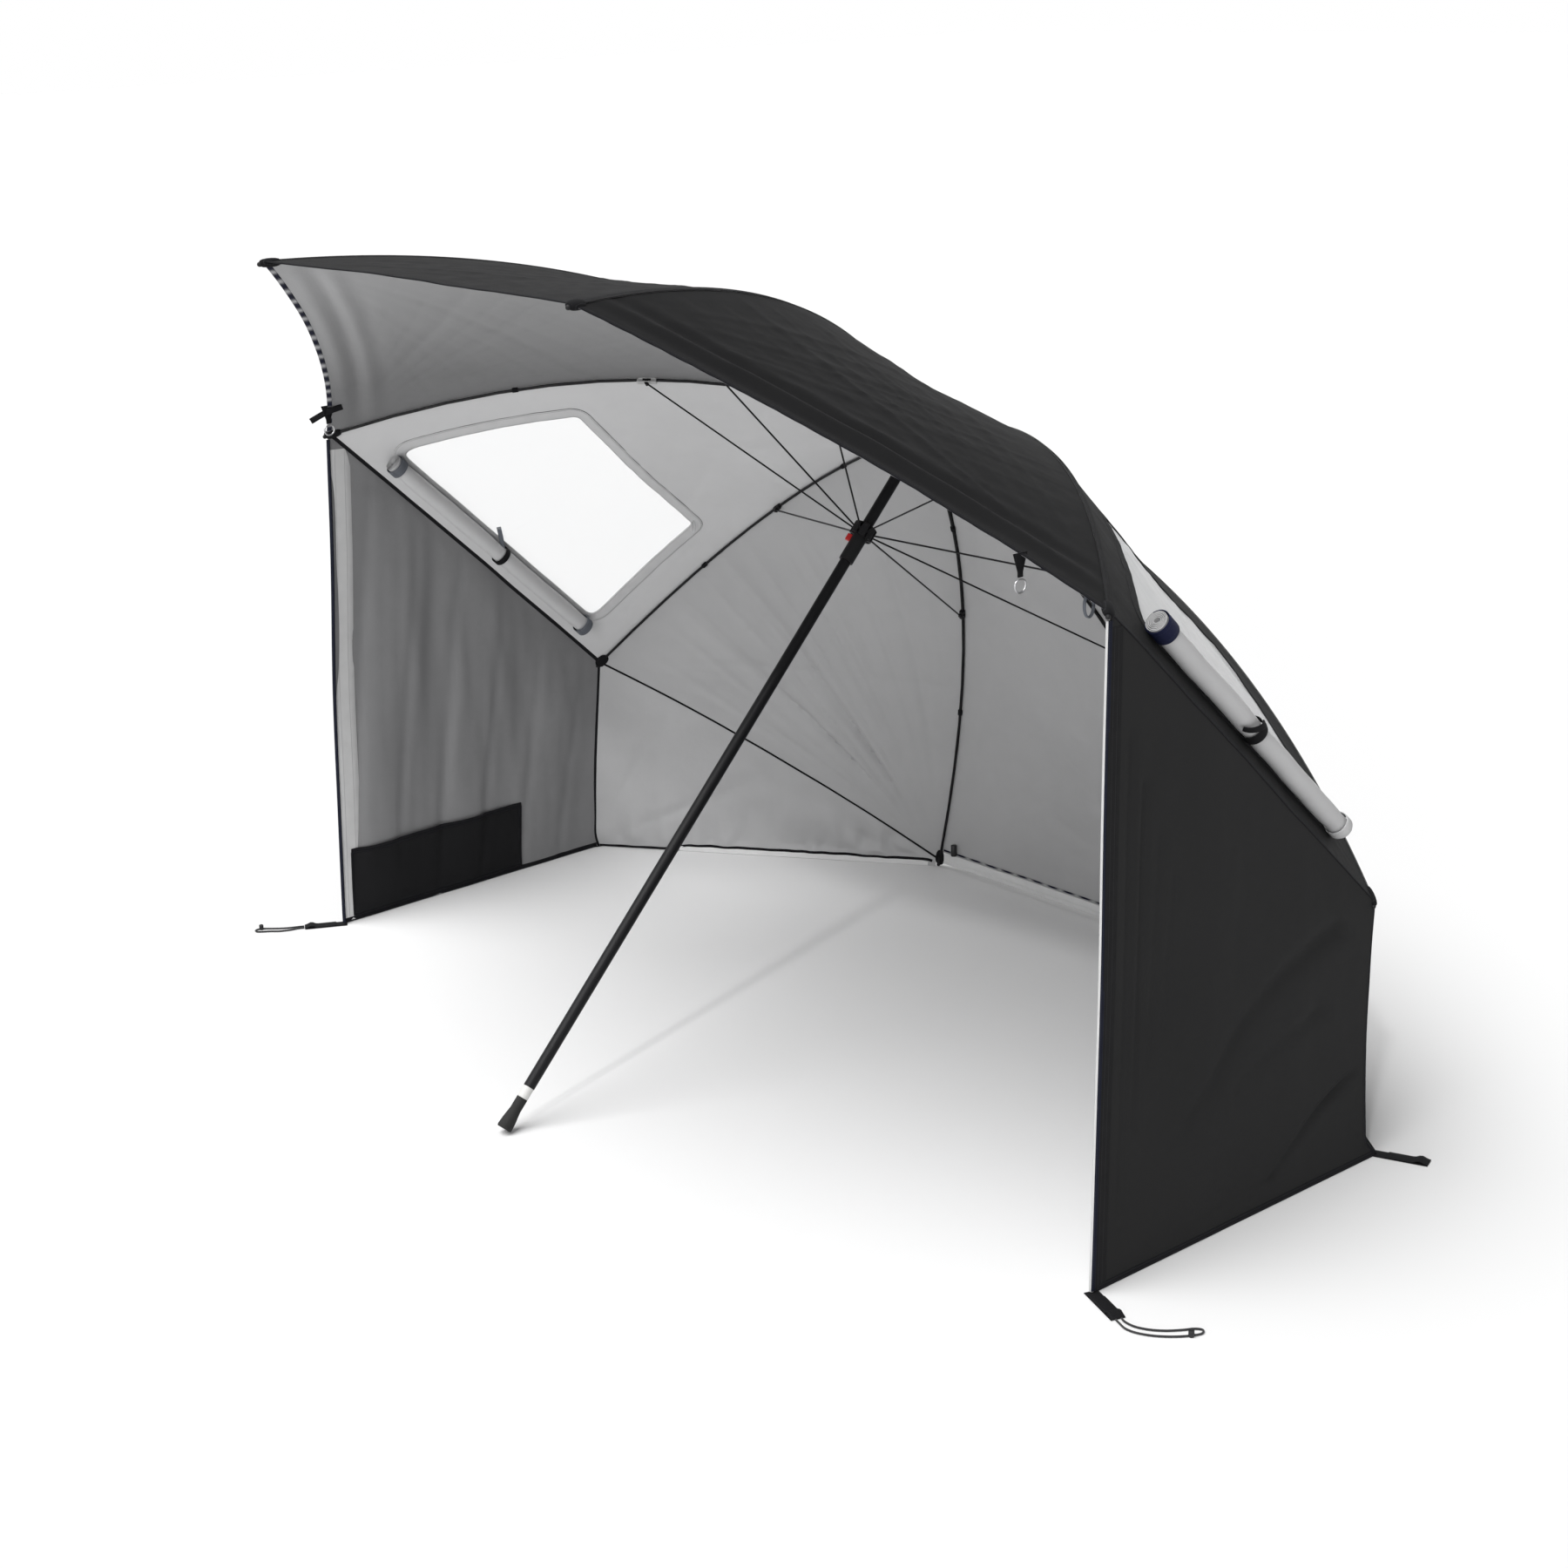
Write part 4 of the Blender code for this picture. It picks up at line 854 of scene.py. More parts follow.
# Painted light: the back gore's hem is white inside, standing for bright floor seen under it.
hem_insides = {"back": ground_tape, "upper_left": puckered_tape, "upper_right": puckered_tape}
for rib, rib_name in enumerate(rib_names):
    radii = [0.03 + (tip_radius - 0.034) * i / 60 for i in range(61)]
    line = [rib_place(rib, r, cloth / 2)[0] for r in radii]
    on_ground = rib_name.startswith("ground")
    seam = strip(
        f"rib_seam_{rib_name}", line, [-rib_square(rib)] * 61, 0.019 if on_ground else 0.013, 0.0017,
        seam_tape, seam_tape if on_ground else silver_tape,
    )
    seat(seam, f"rib_{rib_name}")
for index, gore_name in enumerate(gore_names):
    for side, half_word in halves:
        shares = [side * j / 30 for j in range(31)]
        line = [gore_point(index, tip_radius - 0.004, s, cloth / 2) for s in shares]
        hem = laid_strip(
            f"canopy_hem_{gore_name}_{half_word}", line, gore_square(index, tip_radius - 0.004),
            hem_widths.get(gore_name, 0.01), 0.0024, hem_tape, hem_insides.get(gore_name),
        )
        fold_with(hem, index, side)


# Rib ties. Short black tapes sewn to the seams hold the cloth to each rib in two places, a small
# cloth pocket takes each rib's tip, and a riveted steel saddle joins each stretcher to its rib.
rib_drop = 0.0052
# A tip pocket's sections: radius, half width and half thickness.
pocket_sections = (
    (1.176, 0.005, 0.0046), (1.178, 0.0085, 0.0062), (1.182, 0.0108, 0.0074), (1.187, 0.012, 0.008),
    (1.193, 0.012, 0.008), (1.198, 0.0108, 0.0072), (1.2015, 0.0082, 0.0058), (1.203, 0.005, 0.004),
)
for rib, rib_name in enumerate(rib_names):
    for number, tie_at in enumerate((0.34, 0.86)):
        centre, along, side, out = rib_place(rib, tie_at, rib_drop)
        ring = [centre + up * 0.0046 for up in circle(out, side, 16)]
        tie = strip(
            f"rib_tie_{rib_name}_{number + 1}", ring, [along] * 16, 0.012, 0.0009, black_webbing, closed=True
        )
        seat(tie, f"rib_{rib_name}")

for rib, rib_name in enumerate(rib_names):
    flat = 0.62 if rib_name.startswith("ground") else 1.0
    vertices, cut = [], []
    for at, wide, high in pocket_sections:
        centre, _, side, out = rib_place(rib, at, 0.0035)
        for k in range(16):
            turn = 2 * math.pi * k / 16
            vertices.append(centre + side * wide * math.cos(turn) + out * flat * high * math.sin(turn))
            cut.append((at, wide * math.cos(turn)))
    faces = ring_faces(len(pocket_sections), 16)
    faces += [tuple(range(16)), tuple(range(len(vertices) - 16, len(vertices)))]
    pocket = outward_faces(link_mesh(f"tip_pocket_{rib_name}", vertices, faces, [black_webbing], cut))
    seat(pocket, f"rib_{rib_name}")

saddle_at = 0.6
bpy.ops.object.select_all(action="DESELECT")
bpy.ops.mesh.primitive_cube_add(size=1, location=(0, 0, 0))
saddle_model = bpy.context.object
bpy.ops.object.mode_set(mode="EDIT")
bpy.ops.mesh.select_all(action="SELECT")
bpy.ops.transform.resize(value=(0.022, 0.0092, 0.0105))
bpy.ops.object.mode_set(mode="OBJECT")
for face in saddle_model.data.polygons:
    face.select = abs(face.normal.y) > 0.9
bpy.ops.object.mode_set(mode="EDIT")
bpy.ops.mesh.select_mode(type="FACE")
bpy.ops.mesh.inset(thickness=0.0022)
bpy.ops.mesh.extrude_region_shrink_fatten(TRANSFORM_OT_shrink_fatten={"value": -0.0008})
bpy.ops.object.mode_set(mode="OBJECT")
round_edges(saddle_model, 0.0009)
bpy.ops.object.select_all(action="DESELECT")
bpy.ops.mesh.primitive_cylinder_add(
    vertices=16, radius=0.0021, depth=0.0122, rotation=(math.radians(90), 0, 0)
)
pin_model = bpy.context.object
bpy.ops.object.transform_apply(location=True, rotation=True, scale=True)
round_edges(pin_model, 0.0005)
zinc_plate = hard_finish(
    "zinc_plate", (0.5, 0.5, 0.5), (0.68, 0.68, 0.67), 0.38, 500.0, 0.00004, metallic=0.6
)
for rib, rib_name in enumerate(rib_names):
    centre, along, side, out = rib_place(rib, saddle_at, rib_drop + 0.0015)
    place = Matrix((along, side, out)).transposed().to_4x4()
    place.translation = centre
    upper = rib_name.startswith("upper")
    for model, piece_name, finish, slot_name in (
        (saddle_model, "rib_saddle", zinc_plate if upper else black_coat, "steel"),
        (pin_model, "saddle_pin", black_coat, "black_metal"),
    ):
        mesh = model.data.copy()
        if upper and model == saddle_model:
            mesh.transform(Matrix.Diagonal((1.9, 1, 1, 1)))
        mesh.transform(place)
        mesh.materials.clear()
        mesh.materials.append(finish)
        piece = bpy.data.objects.new(f"{piece_name}_{rib_name}", mesh)
        scene.collection.objects.link(piece)
        mesh.shade_smooth()
        mesh.set_sharp_from_angle(angle=math.radians(35))
        outward_faces(piece)
        seat(piece, f"rib_{rib_name}")
bpy.data.objects.remove(saddle_model)
bpy.data.objects.remove(pin_model)


# Windows. A clear film pane closes the opening in each side gore, the right one painted milky white for
# painted light, and a folded cloth tape is sewn over its edge, black outside and silver inside, with two
# rows of stitches.
film = grain_finish(
    "clear_film", 0.12, 9.0, 3.0, (0.84, 0.86, 0.88), (0.93, 0.94, 0.95), 0.004, alpha=0.1, ior=1.35
)
# Painted light: the right pane is the window film made milky white, standing for the light it shows from
# outside; the left one stays clear.
light_painted_film = grain_finish(
    "light_painted_film", 0.25, 7.0, 4.0, (0.74, 0.75, 0.76), (0.88, 0.88, 0.89), 0.004, alpha=0.72, ior=1.35
)
frame_tape = tape_finish(
    "frame_tape", (0.01, 0.01, 0.011), (0.017, 0.017, 0.018), 0.8, 0.0012, (0.035, 0.035, 0.037), 0.0105
)
lining_tape = tape_finish(
    "lining_tape", (0.58, 0.58, 0.585), (0.66, 0.66, 0.665), 0.6, 0.0012, (0.24, 0.24, 0.25), 0.0105
)
frame_width = 0.026


def plan_point(index, along, aside, depth):
    """A point of a gore from its place in the gore's flat plan: along its middle, and aside."""
    radius = along / math.cos(half_gore)
    return gore_point(index, radius, aside / (radius * math.sin(half_gore)), depth)


def plan_half(along):
    """Half the window's width in plan."""
    return window_half(along / math.cos(half_gore))


def window_outline(grow, side):
    """Half of the window's outline in plan, from the outer middle round to the crown side."""
    low = window_low * math.cos(half_gore) + grow
    high = window_high * math.cos(half_gore) - grow
    side_grow = grow * 1.03
    corners_at = [
        Vector((low, 0)), Vector((low, plan_half(low) + side_grow)),
        Vector((high, plan_half(high) + side_grow)), Vector((high, 0)),
    ]
    bend = 0.02 + grow
    line = []
    for a, b in zip(corners_at[:2], corners_at[1:3]):
        into, past = (b - a).normalized(), (corners_at[corners_at.index(b) + 1] - b).normalized()
        reach = bend * math.tan(into.angle(past) / 2)
        start = line[-1] if line else a
        stop = b - into * reach
        steps = max(2, round((stop - start).length / 0.012))
        line += [start.lerp(stop, i / steps) for i in range(0 if not line else 1, steps + 1)]
        finish = b + past * reach
        for i in range(1, 9):
            t = i / 9
            line.append(stop * (1 - t) ** 2 + b * 2 * t * (1 - t) + finish * t**2)
        line.append(finish)
    start, stop = line[-1], corners_at[3]
    steps = max(2, round((stop - start).length / 0.012))
    line += [start.lerp(stop, i / steps) for i in range(1, steps + 1)]
    return [(p.x, side * p.y) for p in line]


for index, gore_name, pane_finish in ((2, "right", light_painted_film), (6, "left", film)):
    for side, half_word in halves:
        half_name = f"{gore_name}_{half_word}"
        grid, cut_grid = [], []
        for i in range(25):
            along = (window_high * math.cos(half_gore) - 0.008) + (
                (window_low - window_high) * math.cos(half_gore) + 0.016
            ) * i / 24
            edge = plan_half(along) + 0.008
            asides = [edge * j / 16 for j in range(17)]
            asides = asides if side > 0 else [-v for v in asides[::-1]]
            grid.append([plan_point(index, along, v, 0.0009) for v in asides])
            cut_grid.append([(v, along) for v in asides])
        pane = sheet_piece(
            f"window_film_{half_name}", grid, cut_grid, 0.0004, pane_finish, pane_finish, turned=True
        )
        fold_with(pane, index, side, f"window_film_{gore_name}")
        outline = window_outline(0.011, side)
        line = [plan_point(index, u, v, 0.0009) for u, v in outline]
        ups = [gore_square(index, u / math.cos(half_gore)) for u, _ in outline]
        border = laid_strip(
            f"window_frame_{half_name}", line, ups, frame_width, 0.0034, frame_tape, lining_tape
        )
        fold_with(border, index, side)


# Rolled window covers. Each is a cloth flap rolled up along the window's outer edge and held by
# tapes. As photographed, the left one is rolled inside the tent and the right one outside it.
cover_cloth = cloth_finish(
    "cover_cloth", (0.5, 0.5, 0.505), (0.62, 0.62, 0.625), 0.55, 0.0011, sheen=0.05
)
blue_grey_tape = tape_finish(
    "blue_grey_tape", (0.1, 0.11, 0.13), (0.15, 0.16, 0.18), 0.7, 0.0012, (0.2, 0.2, 0.22), 0.006
)
navy_tape = tape_finish(
    "navy_tape", (0.006, 0.008, 0.03), (0.01, 0.013, 0.045), 0.65, 0.0012, (0.02, 0.025, 0.06), 0.009
)
roll_at, roll_radius, roll_turns, roll_steps = 1.147, 0.0205, 5.6, 136
cover_length, core_radius = 0.44, 0.0052
for index, gore_name, roll_side in ((2, "right", 1), (6, "left", -1)):
    reach = window_half(window_low)
    rise = roll_radius + (0.0012 if roll_side > 0 else 0.003)

    def roll_centre(aside):
        across = aside / (roll_at * math.sin(half_gore))
        return gore_point(index, roll_at, across) + gore_square(index, roll_at) * roll_side * rise

    for side, half_word in halves:
        half_name = f"{gore_name}_{half_word}"
        asides = [side * reach * j / 40 for j in range(41)]
        if side < 0:
            asides = asides[::-1]
        out = gore_square(index, roll_at) * roll_side
        grid, cut_grid = [], []
        for aside in asides:
            centre = roll_centre(aside)
            axis = (roll_centre(aside + 0.004) - roll_centre(aside - 0.004)).normalized()
            across_roll = axis.cross(out).normalized()
            waist = 1 - 0.07 * math.exp(-((abs(aside) - reach + 0.03) / 0.02) ** 2) - 0.08 * math.exp(
                -((aside / 0.022) ** 2)
            )
            row, cut_row = [], []
            for k in range(roll_steps + 1):
                share = k / roll_steps
                turn = 2 * math.pi * roll_turns * share + 0.9
                spiral = (core_radius + (roll_radius - core_radius - 0.0006) * share) * waist
                spiral *= 1 + 0.02 * noise.noise(Vector((aside * 16, share * 9, index)))
                row.append(centre + (out * math.cos(turn) + across_roll * math.sin(turn)) * spiral)
                cut_row.append((aside, cover_length * share))
            grid.append(row)
            cut_grid.append(cut_row)
        cover = sheet_piece(f"window_cover_{half_name}", grid, cut_grid, 0.0009, cover_cloth, cover_cloth)
        fold_with(cover, index, side, f"window_roll_{gore_name}")
    if gore_name == "left":
        near_tape, near_width, far_tape, middle = blue_grey_tape, 0.02, blue_grey_tape, (-0.026, 0.014)
    else:
        near_tape, near_width, far_tape, middle = navy_tape, 0.034, lining_tape, (0.0, 0.02)
    for tie_name, aside, tie_finish, tie_width in (
        ("near", -reach + near_width / 2 + 0.002, near_tape, near_width),
        ("middle", middle[0], black_webbing, middle[1]),
        ("far", reach - 0.014, far_tape, 0.02),
    ):
        centre = roll_centre(aside)
        axis = (roll_centre(aside + 0.004) - roll_centre(aside - 0.004)).normalized()
        out = gore_square(index, roll_at) * roll_side
        across_roll = axis.cross(out).normalized()
        ring = [centre + up * (roll_radius + 0.0003) for up in circle(out, across_roll, 24)]
        tie = strip(
            f"cover_tie_{gore_name}_{tie_name}", ring, [axis] * 24, tie_width, 0.0012, tie_finish,
            closed=True,
        )
        fold_with(tie, index, 1 if aside > 0 else -1)


tail_from = roll_centre(-0.026) + Vector((0.0085, 0, roll_radius - 0.0005))
tail_line = []
for i in range(15):
    tail_line.append(tail_from + Vector((0.0012 * math.sin(i / 4), -0.0005 * i, 0.0036 * i - 0.004)))
standing_tail = laid_strip(
    "cover_tie_tail_left", tail_line, gore_square(6, roll_at), 0.010, 0.0016, blue_grey_tape
)
fold_with(standing_tail, 6, -1)
loop_high = window_high * math.cos(half_gore) - 0.006
loop_at = plan_point(6, loop_high, -plan_half(loop_high), 0.006)
loop_path = []
for i in range(33):
    turn = 2 * math.pi * i / 32
    loop_path.append(loop_at + Vector((0.006 * math.sin(turn), -0.004, 0.013 * math.cos(turn) - 0.004)))
elastic_loop = round_cord("cover_loop_left", loop_path, 0.0013, lining_tape, 8)
fold_with(elastic_loop, 6, -1)
out = gore_square(2, roll_at)
roll_axis = (gore_point(2, roll_at, 0.02) - gore_point(2, roll_at, -0.02)).normalized()
tail_line, tail_ups = [], []
for i in range(15):
    turn = 0.1 + 1.75 * i / 14
    middle = gore_point(2, roll_at, (-0.004 - 0.036 * i / 14) / (roll_at * math.sin(half_gore)))
    tail_ups.append(out * math.cos(turn) + roll_axis.cross(out) * math.sin(turn))
    stand = roll_radius + 0.0024 + 0.005 * math.sin(math.pi * i / 14)
    tail_line.append(middle + out * (roll_radius + 0.0012) + tail_ups[-1] * stand)
lying_tail = laid_strip("cover_tie_tail_right", tail_line, tail_ups, 0.011, 0.0022, black_webbing)
fold_with(lying_tail, 2, -1)


# Side walls. Each is one panel, sewn to its side gore's edge and hanging to the ground, black
# outside and silver inside, with a folded hem down the front edge and a narrow navy binding.
# Painted shade: the walls' lining is the silver coating painted darker, standing for the shade on the walls
# inside.
shade_painted_wall_lining = cloth_finish(
    "shade_painted_wall_lining", (0.2, 0.2, 0.204), (0.27, 0.27, 0.274), 0.5, 0.0011, metallic=0.1
)
navy_binding = tape_finish(
    "navy_binding", (0.006, 0.007, 0.016), (0.01, 0.012, 0.024), 0.7, 0.001, (0.03, 0.033, 0.05), 0.003
)
pale_tape = tape_finish(
    "pale_tape", (0.6, 0.6, 0.6), (0.7, 0.7, 0.7), 0.6, 0.0012, (0.34, 0.34, 0.35), 0.0115
)


# Creases seen on the right wall: start and end as shares (from the back edge, from the ground),
# then how wide and how deep each one is.
right_wall_creases = (
    ((0.13, 0.80), (0.68, 0.24), 0.024, 0.018),
    ((0.2, 0.52), (0.52, 0.3), 0.02, 0.007),
    ((0.05, 0.34), (0.38, 0.07), 0.016, 0.017),
    ((0.38, 0.07), (0.72, 0.04), 0.012, 0.006),
    ((0.92, 0.86), (0.92, 0.12), 0.008, 0.009),
    ((0.87, 0.8), (0.88, 0.25), 0.009, 0.008),
    ((0.81, 0.74), (0.83, 0.35), 0.011, 0.005),
    ((0.76, 0.68), (0.78, 0.42), 0.011, 0.004),
)
wall_long, wall_tall = 0.71, 0.9


def back_edge_pull(along, share, right):
    """The back edge between the tip and the ground is drawn in, more so on the right."""
    height = min(1, max(0, share) / 0.1) * min(1, max(0, 1 - share) / 0.8)
    return (0.033 if right else 0.012) * max(0, along) ** 5 * math.sin(math.pi / 2 * height)


def wall_folds(forward, share, right):
    """How far the wall stands out: long upright folds, a fan from its top back corner, small creases."""
    calm = 0.35 if right else 1.0
    upright = math.sin(2 * math.pi * (3.2 * forward + 0.35 * share)) * (0.35 + 0.65 * forward)
    fan = math.sin(14 * math.atan2(forward + 0.04, 1.15 - share))
    depth = upright * math.sin(math.pi * share) ** 0.6 + 1.2 * fan * share * (1 - share)
    total = 0.009 * calm * depth * min(1, 6 * forward)
    room = math.sin(math.pi * share) ** 0.5 * min(1, 7 * forward) * min(1, 9 * (1 - forward) + 0.25)
    seed = 11.0 if right else 3.0
    total += room * 0.009 * calm * noise.noise(Vector((forward * 9, share * 1.4, seed)))
    total += room * 0.003 * calm * noise.noise(Vector((forward * 24, share * 4, seed + 20)))
    if right:
        down = math.hypot(forward * 0.8, 1.02 - share)
        turn = math.atan2(forward * 0.8, 1.02 - share + 1e-6)
        total += room * 0.006 * ridge(4.6 * turn + 0.5) * down * math.exp(-down / 0.5)
        for crease_from, crease_to, wide, deep in right_wall_creases:
            start = Vector((crease_from[0] * wall_long, crease_from[1] * wall_tall))
            run = Vector((crease_to[0] * wall_long, crease_to[1] * wall_tall)) - start
            here = Vector((forward * wall_long, share * wall_tall)) - start
            reach_along = max(0.0, min(1.0, here.dot(run) / run.length_squared))
            gap = (here - run * reach_along).length
            total -= room * deep * math.exp(-((gap / wide) ** 2)) * (1 - 0.4 * reach_along)
    else:
        total += room * 0.006 * ridge(2 * math.pi * 3.1 * forward + 2.2 * share) * (1 - 0.6 * share)
    return total


def wall_place(right, along, share, stand=0.0):
    """A point of a wall's inner face: along from its front edge, share from the ground up."""
    index = 2 if right else 6
    across = 2 * along - 1 if right else 1 - 2 * along
    top = gore_point(index, tip_radius - 0.002, across, cloth / 2)
    flip = 1 if right else -1
    top.x += flip * 0.0004
    seam = Vector((0, wall_cloth, 0)) * along
    ground = front_corner.lerp(back_corner, along) - seam
    ground.x *= flip
    place = ground.lerp(top, share)
    place.y -= back_edge_pull(along, share, right)
    place.x += flip * (wall_folds(1 - along, share, right) + stand)
    return place


def hang(piece):
    """Bakes the piece's placing into its mesh, where it stays."""
    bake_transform(piece)


wall_rows, wall_columns = 90, 80
ground_hem_height = 0.0062
for right in (True, False):
    wall_out = Vector((1 if right else -1, 0, 0))
    side_name = "right" if right else "left"
    grid, cut_grid = [], []
    for i in range(wall_rows + 1):
        share = i / wall_rows
        grid.append([wall_place(right, j / wall_columns, share, 0.0008) for j in range(wall_columns + 1)])
        cut_grid.append([(0.72 * j / wall_columns, 1.1 * share) for j in range(wall_columns + 1)])
    wall = sheet_piece(
        f"wall_{side_name}", grid, cut_grid, 0.0008, light_painted_wall_cloth, shade_painted_wall_lining, turned=not right
    )
    hang(wall)
    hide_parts(f"side_wall_{side_name}")
    # The cut: the panel, its folded front hem, 11 mm turned up at the ground and 10 mm seams.
    hem_width = 0.028 if right else 0.052
    for strip_name, place_at, width, height, finish, inner in (
        ("hem", hem_width * 0.72, hem_width, 0.0026, seam_tape, pale_tape),
        ("edge", 0.001, 0.008, 0.0036, navy_binding, navy_binding),
    ):
        line = [wall_place(right, place_at, 0.004 + 0.985 * i / 70, 0.0004) for i in range(71)]
        hem = laid_strip(f"wall_{strip_name}_{side_name}", line, wall_out, width, height, finish, inner)
        hang(hem)
    fold_radius = 0.0042 if right else 0.0028
    path = [wall_place(right, 0.0, 0.003 + 0.985 * i / 70, -fold_radius * 0.6) for i in range(71)]
    fold = round_cord(
        f"wall_front_fold_{side_name}", path, fold_radius, pale_tape if right else navy_binding, 12
    )
    hang(fold)
    line = []
    for i in range(71):
        along = 0.006 + 0.988 * i / 70
        line.append(wall_place(right, along, ground_hem_height / wall_place(right, along, 1.0).z, 0.0004))
    hem = laid_strip(f"wall_ground_hem_{side_name}", line, wall_out, 0.011, 0.0026, hem_tape)
    hang(hem)


# Back skirts. A three-cornered panel closes the gap on each side between the low gore's edge and
# the ground, sewn to the side wall at its back edge, and gathered a little along the ground.
skirt_lining = cloth_finish(
    "skirt_lining", (0.42, 0.42, 0.425), (0.52, 0.52, 0.525), 0.5, 0.0011, metallic=0.1
)
rib_end = Vector((tip_radius, 0, 0)) + inward(tip_radius) * rib_drop
ground_tip = umbrella @ (Matrix.Rotation(7 * half_gore, 4, "Z") @ rib_end)
skirt_run = Vector((ground_tip.x - back_corner.x, ground_tip.y - back_corner.y, 0))
skirt_out = Vector((skirt_run.y, -skirt_run.x, 0)).normalized()


def skirt_place(right, along, share, stand=0.0):
    """A point of a skirt: along from the side wall to the ground tip, share from the ground up."""
    index, flip = (3, 1) if right else (5, -1)
    across = -flip * (1 - 2 * along * 0.98)
    top = gore_point(index, tip_radius - 0.002, across, cloth / 2)
    ground = back_corner.lerp(Vector((ground_tip.x, ground_tip.y, 0)) + skirt_out * 0.0006, along * 0.98)
    out = Vector((flip * skirt_out.x, skirt_out.y, 0))
    ground.x *= flip
    place = ground.lerp(top, share)
    place.y -= back_edge_pull(1 - along, share, right)
    height = max(top.z, 0.02)
    room = (1 - along) * min(1, 6 * along)
    depth = 0.0045 * math.sin(2 * math.pi * (2.5 * along + 0.5 * share)) * math.sin(math.pi * share) * room
    low = math.exp(-share * height / 0.05) * min(1, share * height / 0.03) ** 2
    seed = 5.0 if right else 9.0
    gather = noise.noise(Vector((along * 22, share * 2, seed)))
    depth += 0.034 * low * gather * min(1, 8 * along) * min(1, 8 * (1 - along))
    fan = math.atan2(share * height, along * 0.75 + 0.02)
    depth += 0.008 * ridge(5 * fan + 0.8) * math.sin(math.pi * share) * room
    depth += 0.006 * noise.noise(Vector((along * 9, share * 3, seed + 9))) * math.sin(math.pi * share) ** 0.5
    return place + out * (depth * min(1, height / 0.1) + stand)


for right in (True, False):
    side_name = "right" if right else "left"
    flip = 1 if right else -1
    grid, cut_grid = [], []
    for i in range(51):
        share = i / 50
        grid.append([skirt_place(right, 0.002 + 1.008 * j / 90, share, 0.0008) for j in range(91)])
        cut_grid.append([(0.75 * j / 90, 0.6 * share * (1 - j / 95)) for j in range(91)])
    skirt = sheet_piece(
        f"back_skirt_{side_name}_cloth", grid, cut_grid, 0.0008, black_polyester, skirt_lining,
        turned=not right,
    )
    hang(skirt)
    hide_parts(f"back_skirt_{side_name}")
    out = Vector((flip * skirt_out.x, skirt_out.y, 0))
    line = []
    for i in range(81):
        along = 0.004 + 0.995 * i / 80
        rise = 0.0042 + 0.0115 * min(1, max(0, along - 0.2) / 0.08)
        line.append(skirt_place(right, along, min(0.5, rise / skirt_place(right, along, 1.0).z), 0.0004))
    hem = laid_strip(f"skirt_ground_hem_{side_name}", line, out, 0.0065, 0.003, hem_tape)
    grid, cut_grid = [], []
    # Painted light: a white tape along the skirt's foot, standing for bright floor seen under the hem.
    for rise in (0.0006, 0.0036, 0.0066, 0.0096, 0.0126):
        alongs = [0.002 + 1.008 * j / 90 for j in range(22, 89)]
        tops = [skirt_place(right, along, 1.0).z for along in alongs]
        shares = [min(25 * rise, rise / top) for top in tops]
        grid.append([skirt_place(right, at, share, -0.0002) for at, share in zip(alongs, shares)])
        cut_grid.append([(0.75 * along, rise - 0.0066) for along in alongs])
    low_tape = sheet_piece(
        f"skirt_ground_tape_{side_name}", grid, cut_grid, 0.001, ground_tape, ground_tape, turned=not right
    )
    for piece in (hem, low_tape):
        hang(piece)
    forward = Vector((0, -0.0006, 0))
    line = [skirt_place(right, 0.0, 0.004 + 0.99 * i / 60) + forward for i in range(61)]
    seam = laid_strip(
        f"back_corner_seam_{side_name}", line, Vector((flip, 0.3, 0)), 0.0068, 0.003, hem_tape
    )
    hang(seam)


# Ground edge. A wide white tape inside the back gore where it meets the ground, in two halves on the two
# ground ribs, is painted light standing for bright floor seen under the hem, and a small cord lock sits on
# it near the left one.
for side, half_word in halves:
    shares = [side * 0.985 * j / 30 for j in range(31)]
    for edge_name, edge_in, edge_width, edge_finish in (
        ("edge", 0.015, 0.018, ground_tape), ("seam", 0.0262, 0.0042, puckered_tape),
    ):
        line = [gore_point(4, tip_radius - edge_in, v, 0.0018) for v in shares]
        edge = laid_strip(
            f"ground_{edge_name}_{half_word}", line, gore_square(4, tip_radius - 0.016), edge_width, 0.0016,
            edge_finish,
        )
        fold_with(edge, 4, side)
ground_lock = cord_lock(
    "ground_lock", gore_point(4, tip_radius - 0.036, 0.9, 0.0095), lock_plastic, 0.0066, 0.026
)
fold_with(ground_lock, 4, 1)


# Inside pocket. A flat patch of black polyester is sewn low on the left wall on three sides, its
# open top edge bound with tape and gaping a little.
pocket_cloth = cloth_finish(
    "pocket_cloth", (0.008, 0.008, 0.009), (0.014, 0.014, 0.015), 0.7, 0.0014
)
wall_length = back_corner.y - front_corner.y
pocket_near, pocket_far, pocket_low, pocket_high = 0.026, 0.484, 0.012, 0.165


def pocket_place(u, v, stand):
    along = (pocket_near + (pocket_far - pocket_near) * u) / wall_length
    height = pocket_low + (pocket_high - pocket_low) * v
    top = wall_place(False, along, 1.0).z
    gape = 0.0065 * math.sin(math.pi * u) ** 0.6 * v**1.5 + 0.0018 * noise.noise(Vector((u * 5, v * 2, 2)))
    edge = min(1, 12 * u, 12 * (1 - u), 6 * v + 0.05)
    place = wall_place(False, along, height / top)
    place.x += 0.0012 + stand + max(0, gape) * edge
    return place


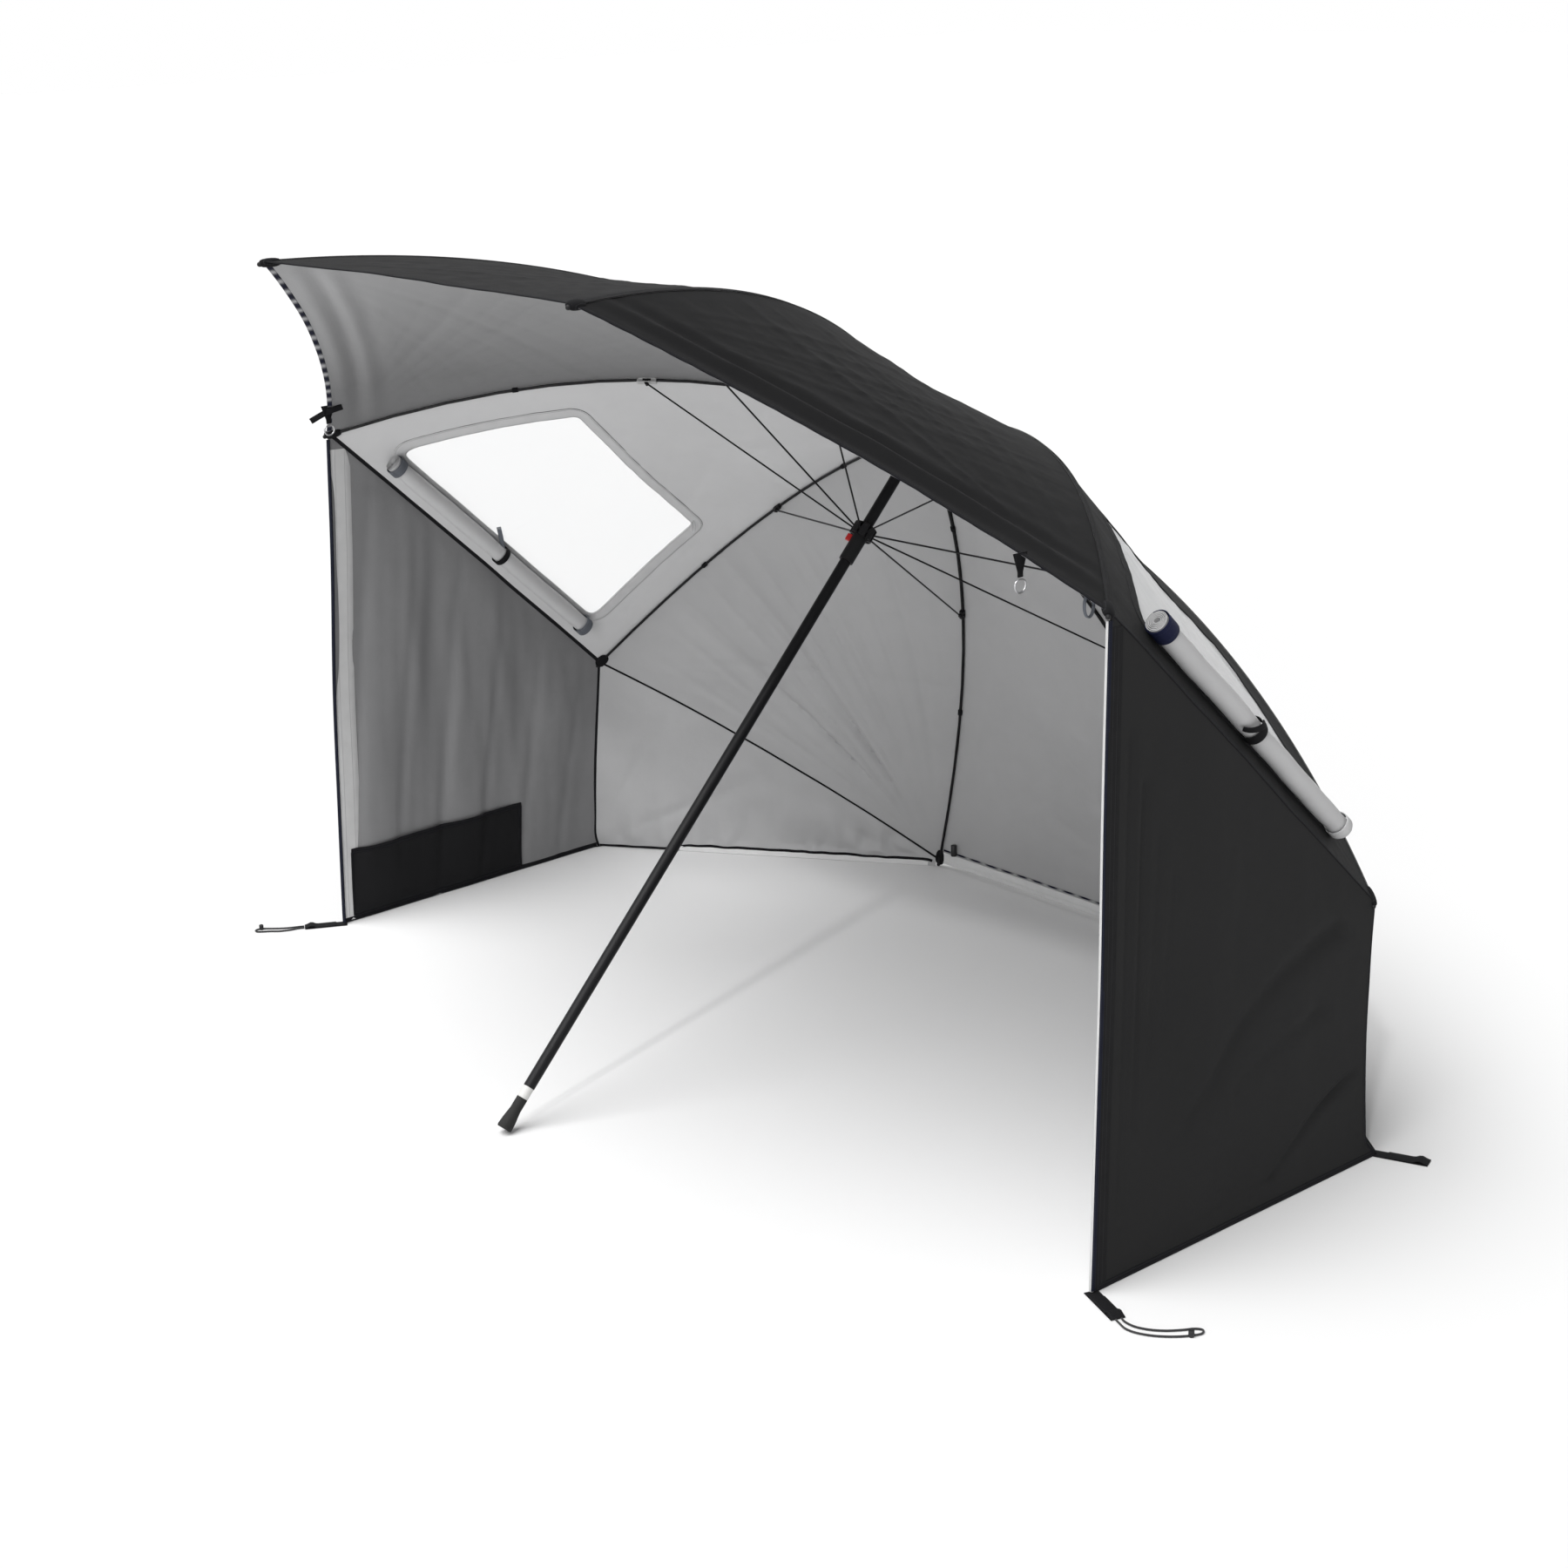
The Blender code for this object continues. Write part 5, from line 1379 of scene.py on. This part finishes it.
grid = [[pocket_place(j / 60, i / 20, 0.0) for j in range(61)] for i in range(21)]
cut_grid = [[(0.46 * j / 60, 0.153 * i / 20) for j in range(61)] for i in range(21)]
pocket = sheet_piece("pocket", grid, cut_grid, 0.001, pocket_cloth, pocket_cloth, turned=True)
hang(pocket)
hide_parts("wall_pocket")
pocket_lines = (
    ("top", [(i / 60, 0.975) for i in range(61)], 0.012, 0.0026),
    ("near", [(0.006, i / 20 * 0.96) for i in range(21)], 0.008, 0.0018),
    ("far", [(0.994, i / 20 * 0.96) for i in range(21)], 0.008, 0.0018),
    ("bottom", [(0.006 + 0.988 * i / 60, 0.02) for i in range(61)], 0.008, 0.0018),
)
for line_name, places, width, height in pocket_lines:
    line = [pocket_place(u, v, 0.0004) for u, v in places]
    binding = laid_strip(f"pocket_{line_name}_binding", line, Vector((1, 0, 0)), width, height, hem_tape)
    hang(binding)


# Guy tabs. A three-cornered web tab is sewn under the canopy's edge on each side, and a wire ring
# for a guy line hangs in its folded end.
ring_height, ring_bend = 1.124216, 0.004
rows = 14
for side_name, flip in (("right", 1), ("left", -1)):
    hem_at = Vector((flip * 0.98640, -0.38999, 1.171716))
    vertices, cut = [], []
    for i in range(rows + 1):
        down = 0.037 * i / rows
        half = 0.015 - 0.0098 * min(1, down / 0.03)
        thick = 0.0009 + 0.0008 * math.exp(-(((down - 0.034) / 0.004) ** 2))
        for sx, sy in ((-1, -1), (-1, -0.34), (-1, 0.34), (-1, 1), (1, 1), (1, 0.34), (1, -0.34), (1, -1)):
            soft = 0.55 if abs(sy) == 1 else 1.0
            vertices.append(hem_at + Vector((sx * thick * soft, sy * half, 0.002 - down)))
            cut.append((down, sy * half))
    faces = ring_faces(rows + 1, 8) + [tuple(range(8)), tuple(range(rows * 8, rows * 8 + 8))]
    tab = outward_faces(link_mesh(f"guy_web_{side_name}", vertices, faces, [black_webbing], cut))
    seat(tab, f"rib_upper_{side_name}", f"guy_tab_{side_name}")
    bpy.ops.object.select_all(action="DESELECT")
    bpy.ops.mesh.primitive_torus_add(
        major_radius=0.0112, minor_radius=0.0016, major_segments=40, minor_segments=12,
        location=(hem_at.x, hem_at.y, ring_height), rotation=(0, math.radians(90), 0),
    )
    ring = bpy.context.object
    ring.name = f"guy_ring_{side_name}"
    bpy.ops.object.transform_apply(location=True, rotation=True, scale=True)
    for vertex in ring.data.vertices:
        rise = vertex.co.z - ring_height
        if rise > ring_bend:
            vertex.co.z = ring_height + ring_bend + (rise - ring_bend) * 0.72
    ring.data.materials.append(bare_steel)
    bpy.ops.object.shade_smooth()
    seat(ring, f"rib_upper_{side_name}")


hem_loop_at = gore_point(1, 1.182, 0.94) + Vector((-0.006, -0.002, -0.018))
ups, ring = [], []
for k in range(28):
    turn = 2 * math.pi * k / 28
    ups.append(Vector((0, math.cos(turn) / 0.010, math.sin(turn) / 0.018)).normalized())
    ring.append(hem_loop_at + Vector((0, 0.010 * math.cos(turn), 0.018 * math.sin(turn))))
hem_loop = strip(
    "hem_loop_right", ring, [Vector((1, 0, 0))] * 28, 0.006, 0.0024, blue_grey_tape, closed=True
)
seat(hem_loop, "rib_upper_right")
strap_middle = Vector((-0.98640, -0.3935, 1.160))
strap_run = Vector((0.64, 0.77, 0.42)).normalized()
strap_line = []
for i in range(21):
    at = -0.036 + 0.0036 * i
    strap_line.append(strap_middle + strap_run * at + Vector((0, 0, 0.002 * math.cos(at * 60) - 0.002)))
hem_strap = laid_strip(
    "guy_strap_left", strap_line, Vector((0.77, -0.64, 0)), 0.012, 0.0022, black_webbing
)
seat(hem_strap, "rib_upper_left")
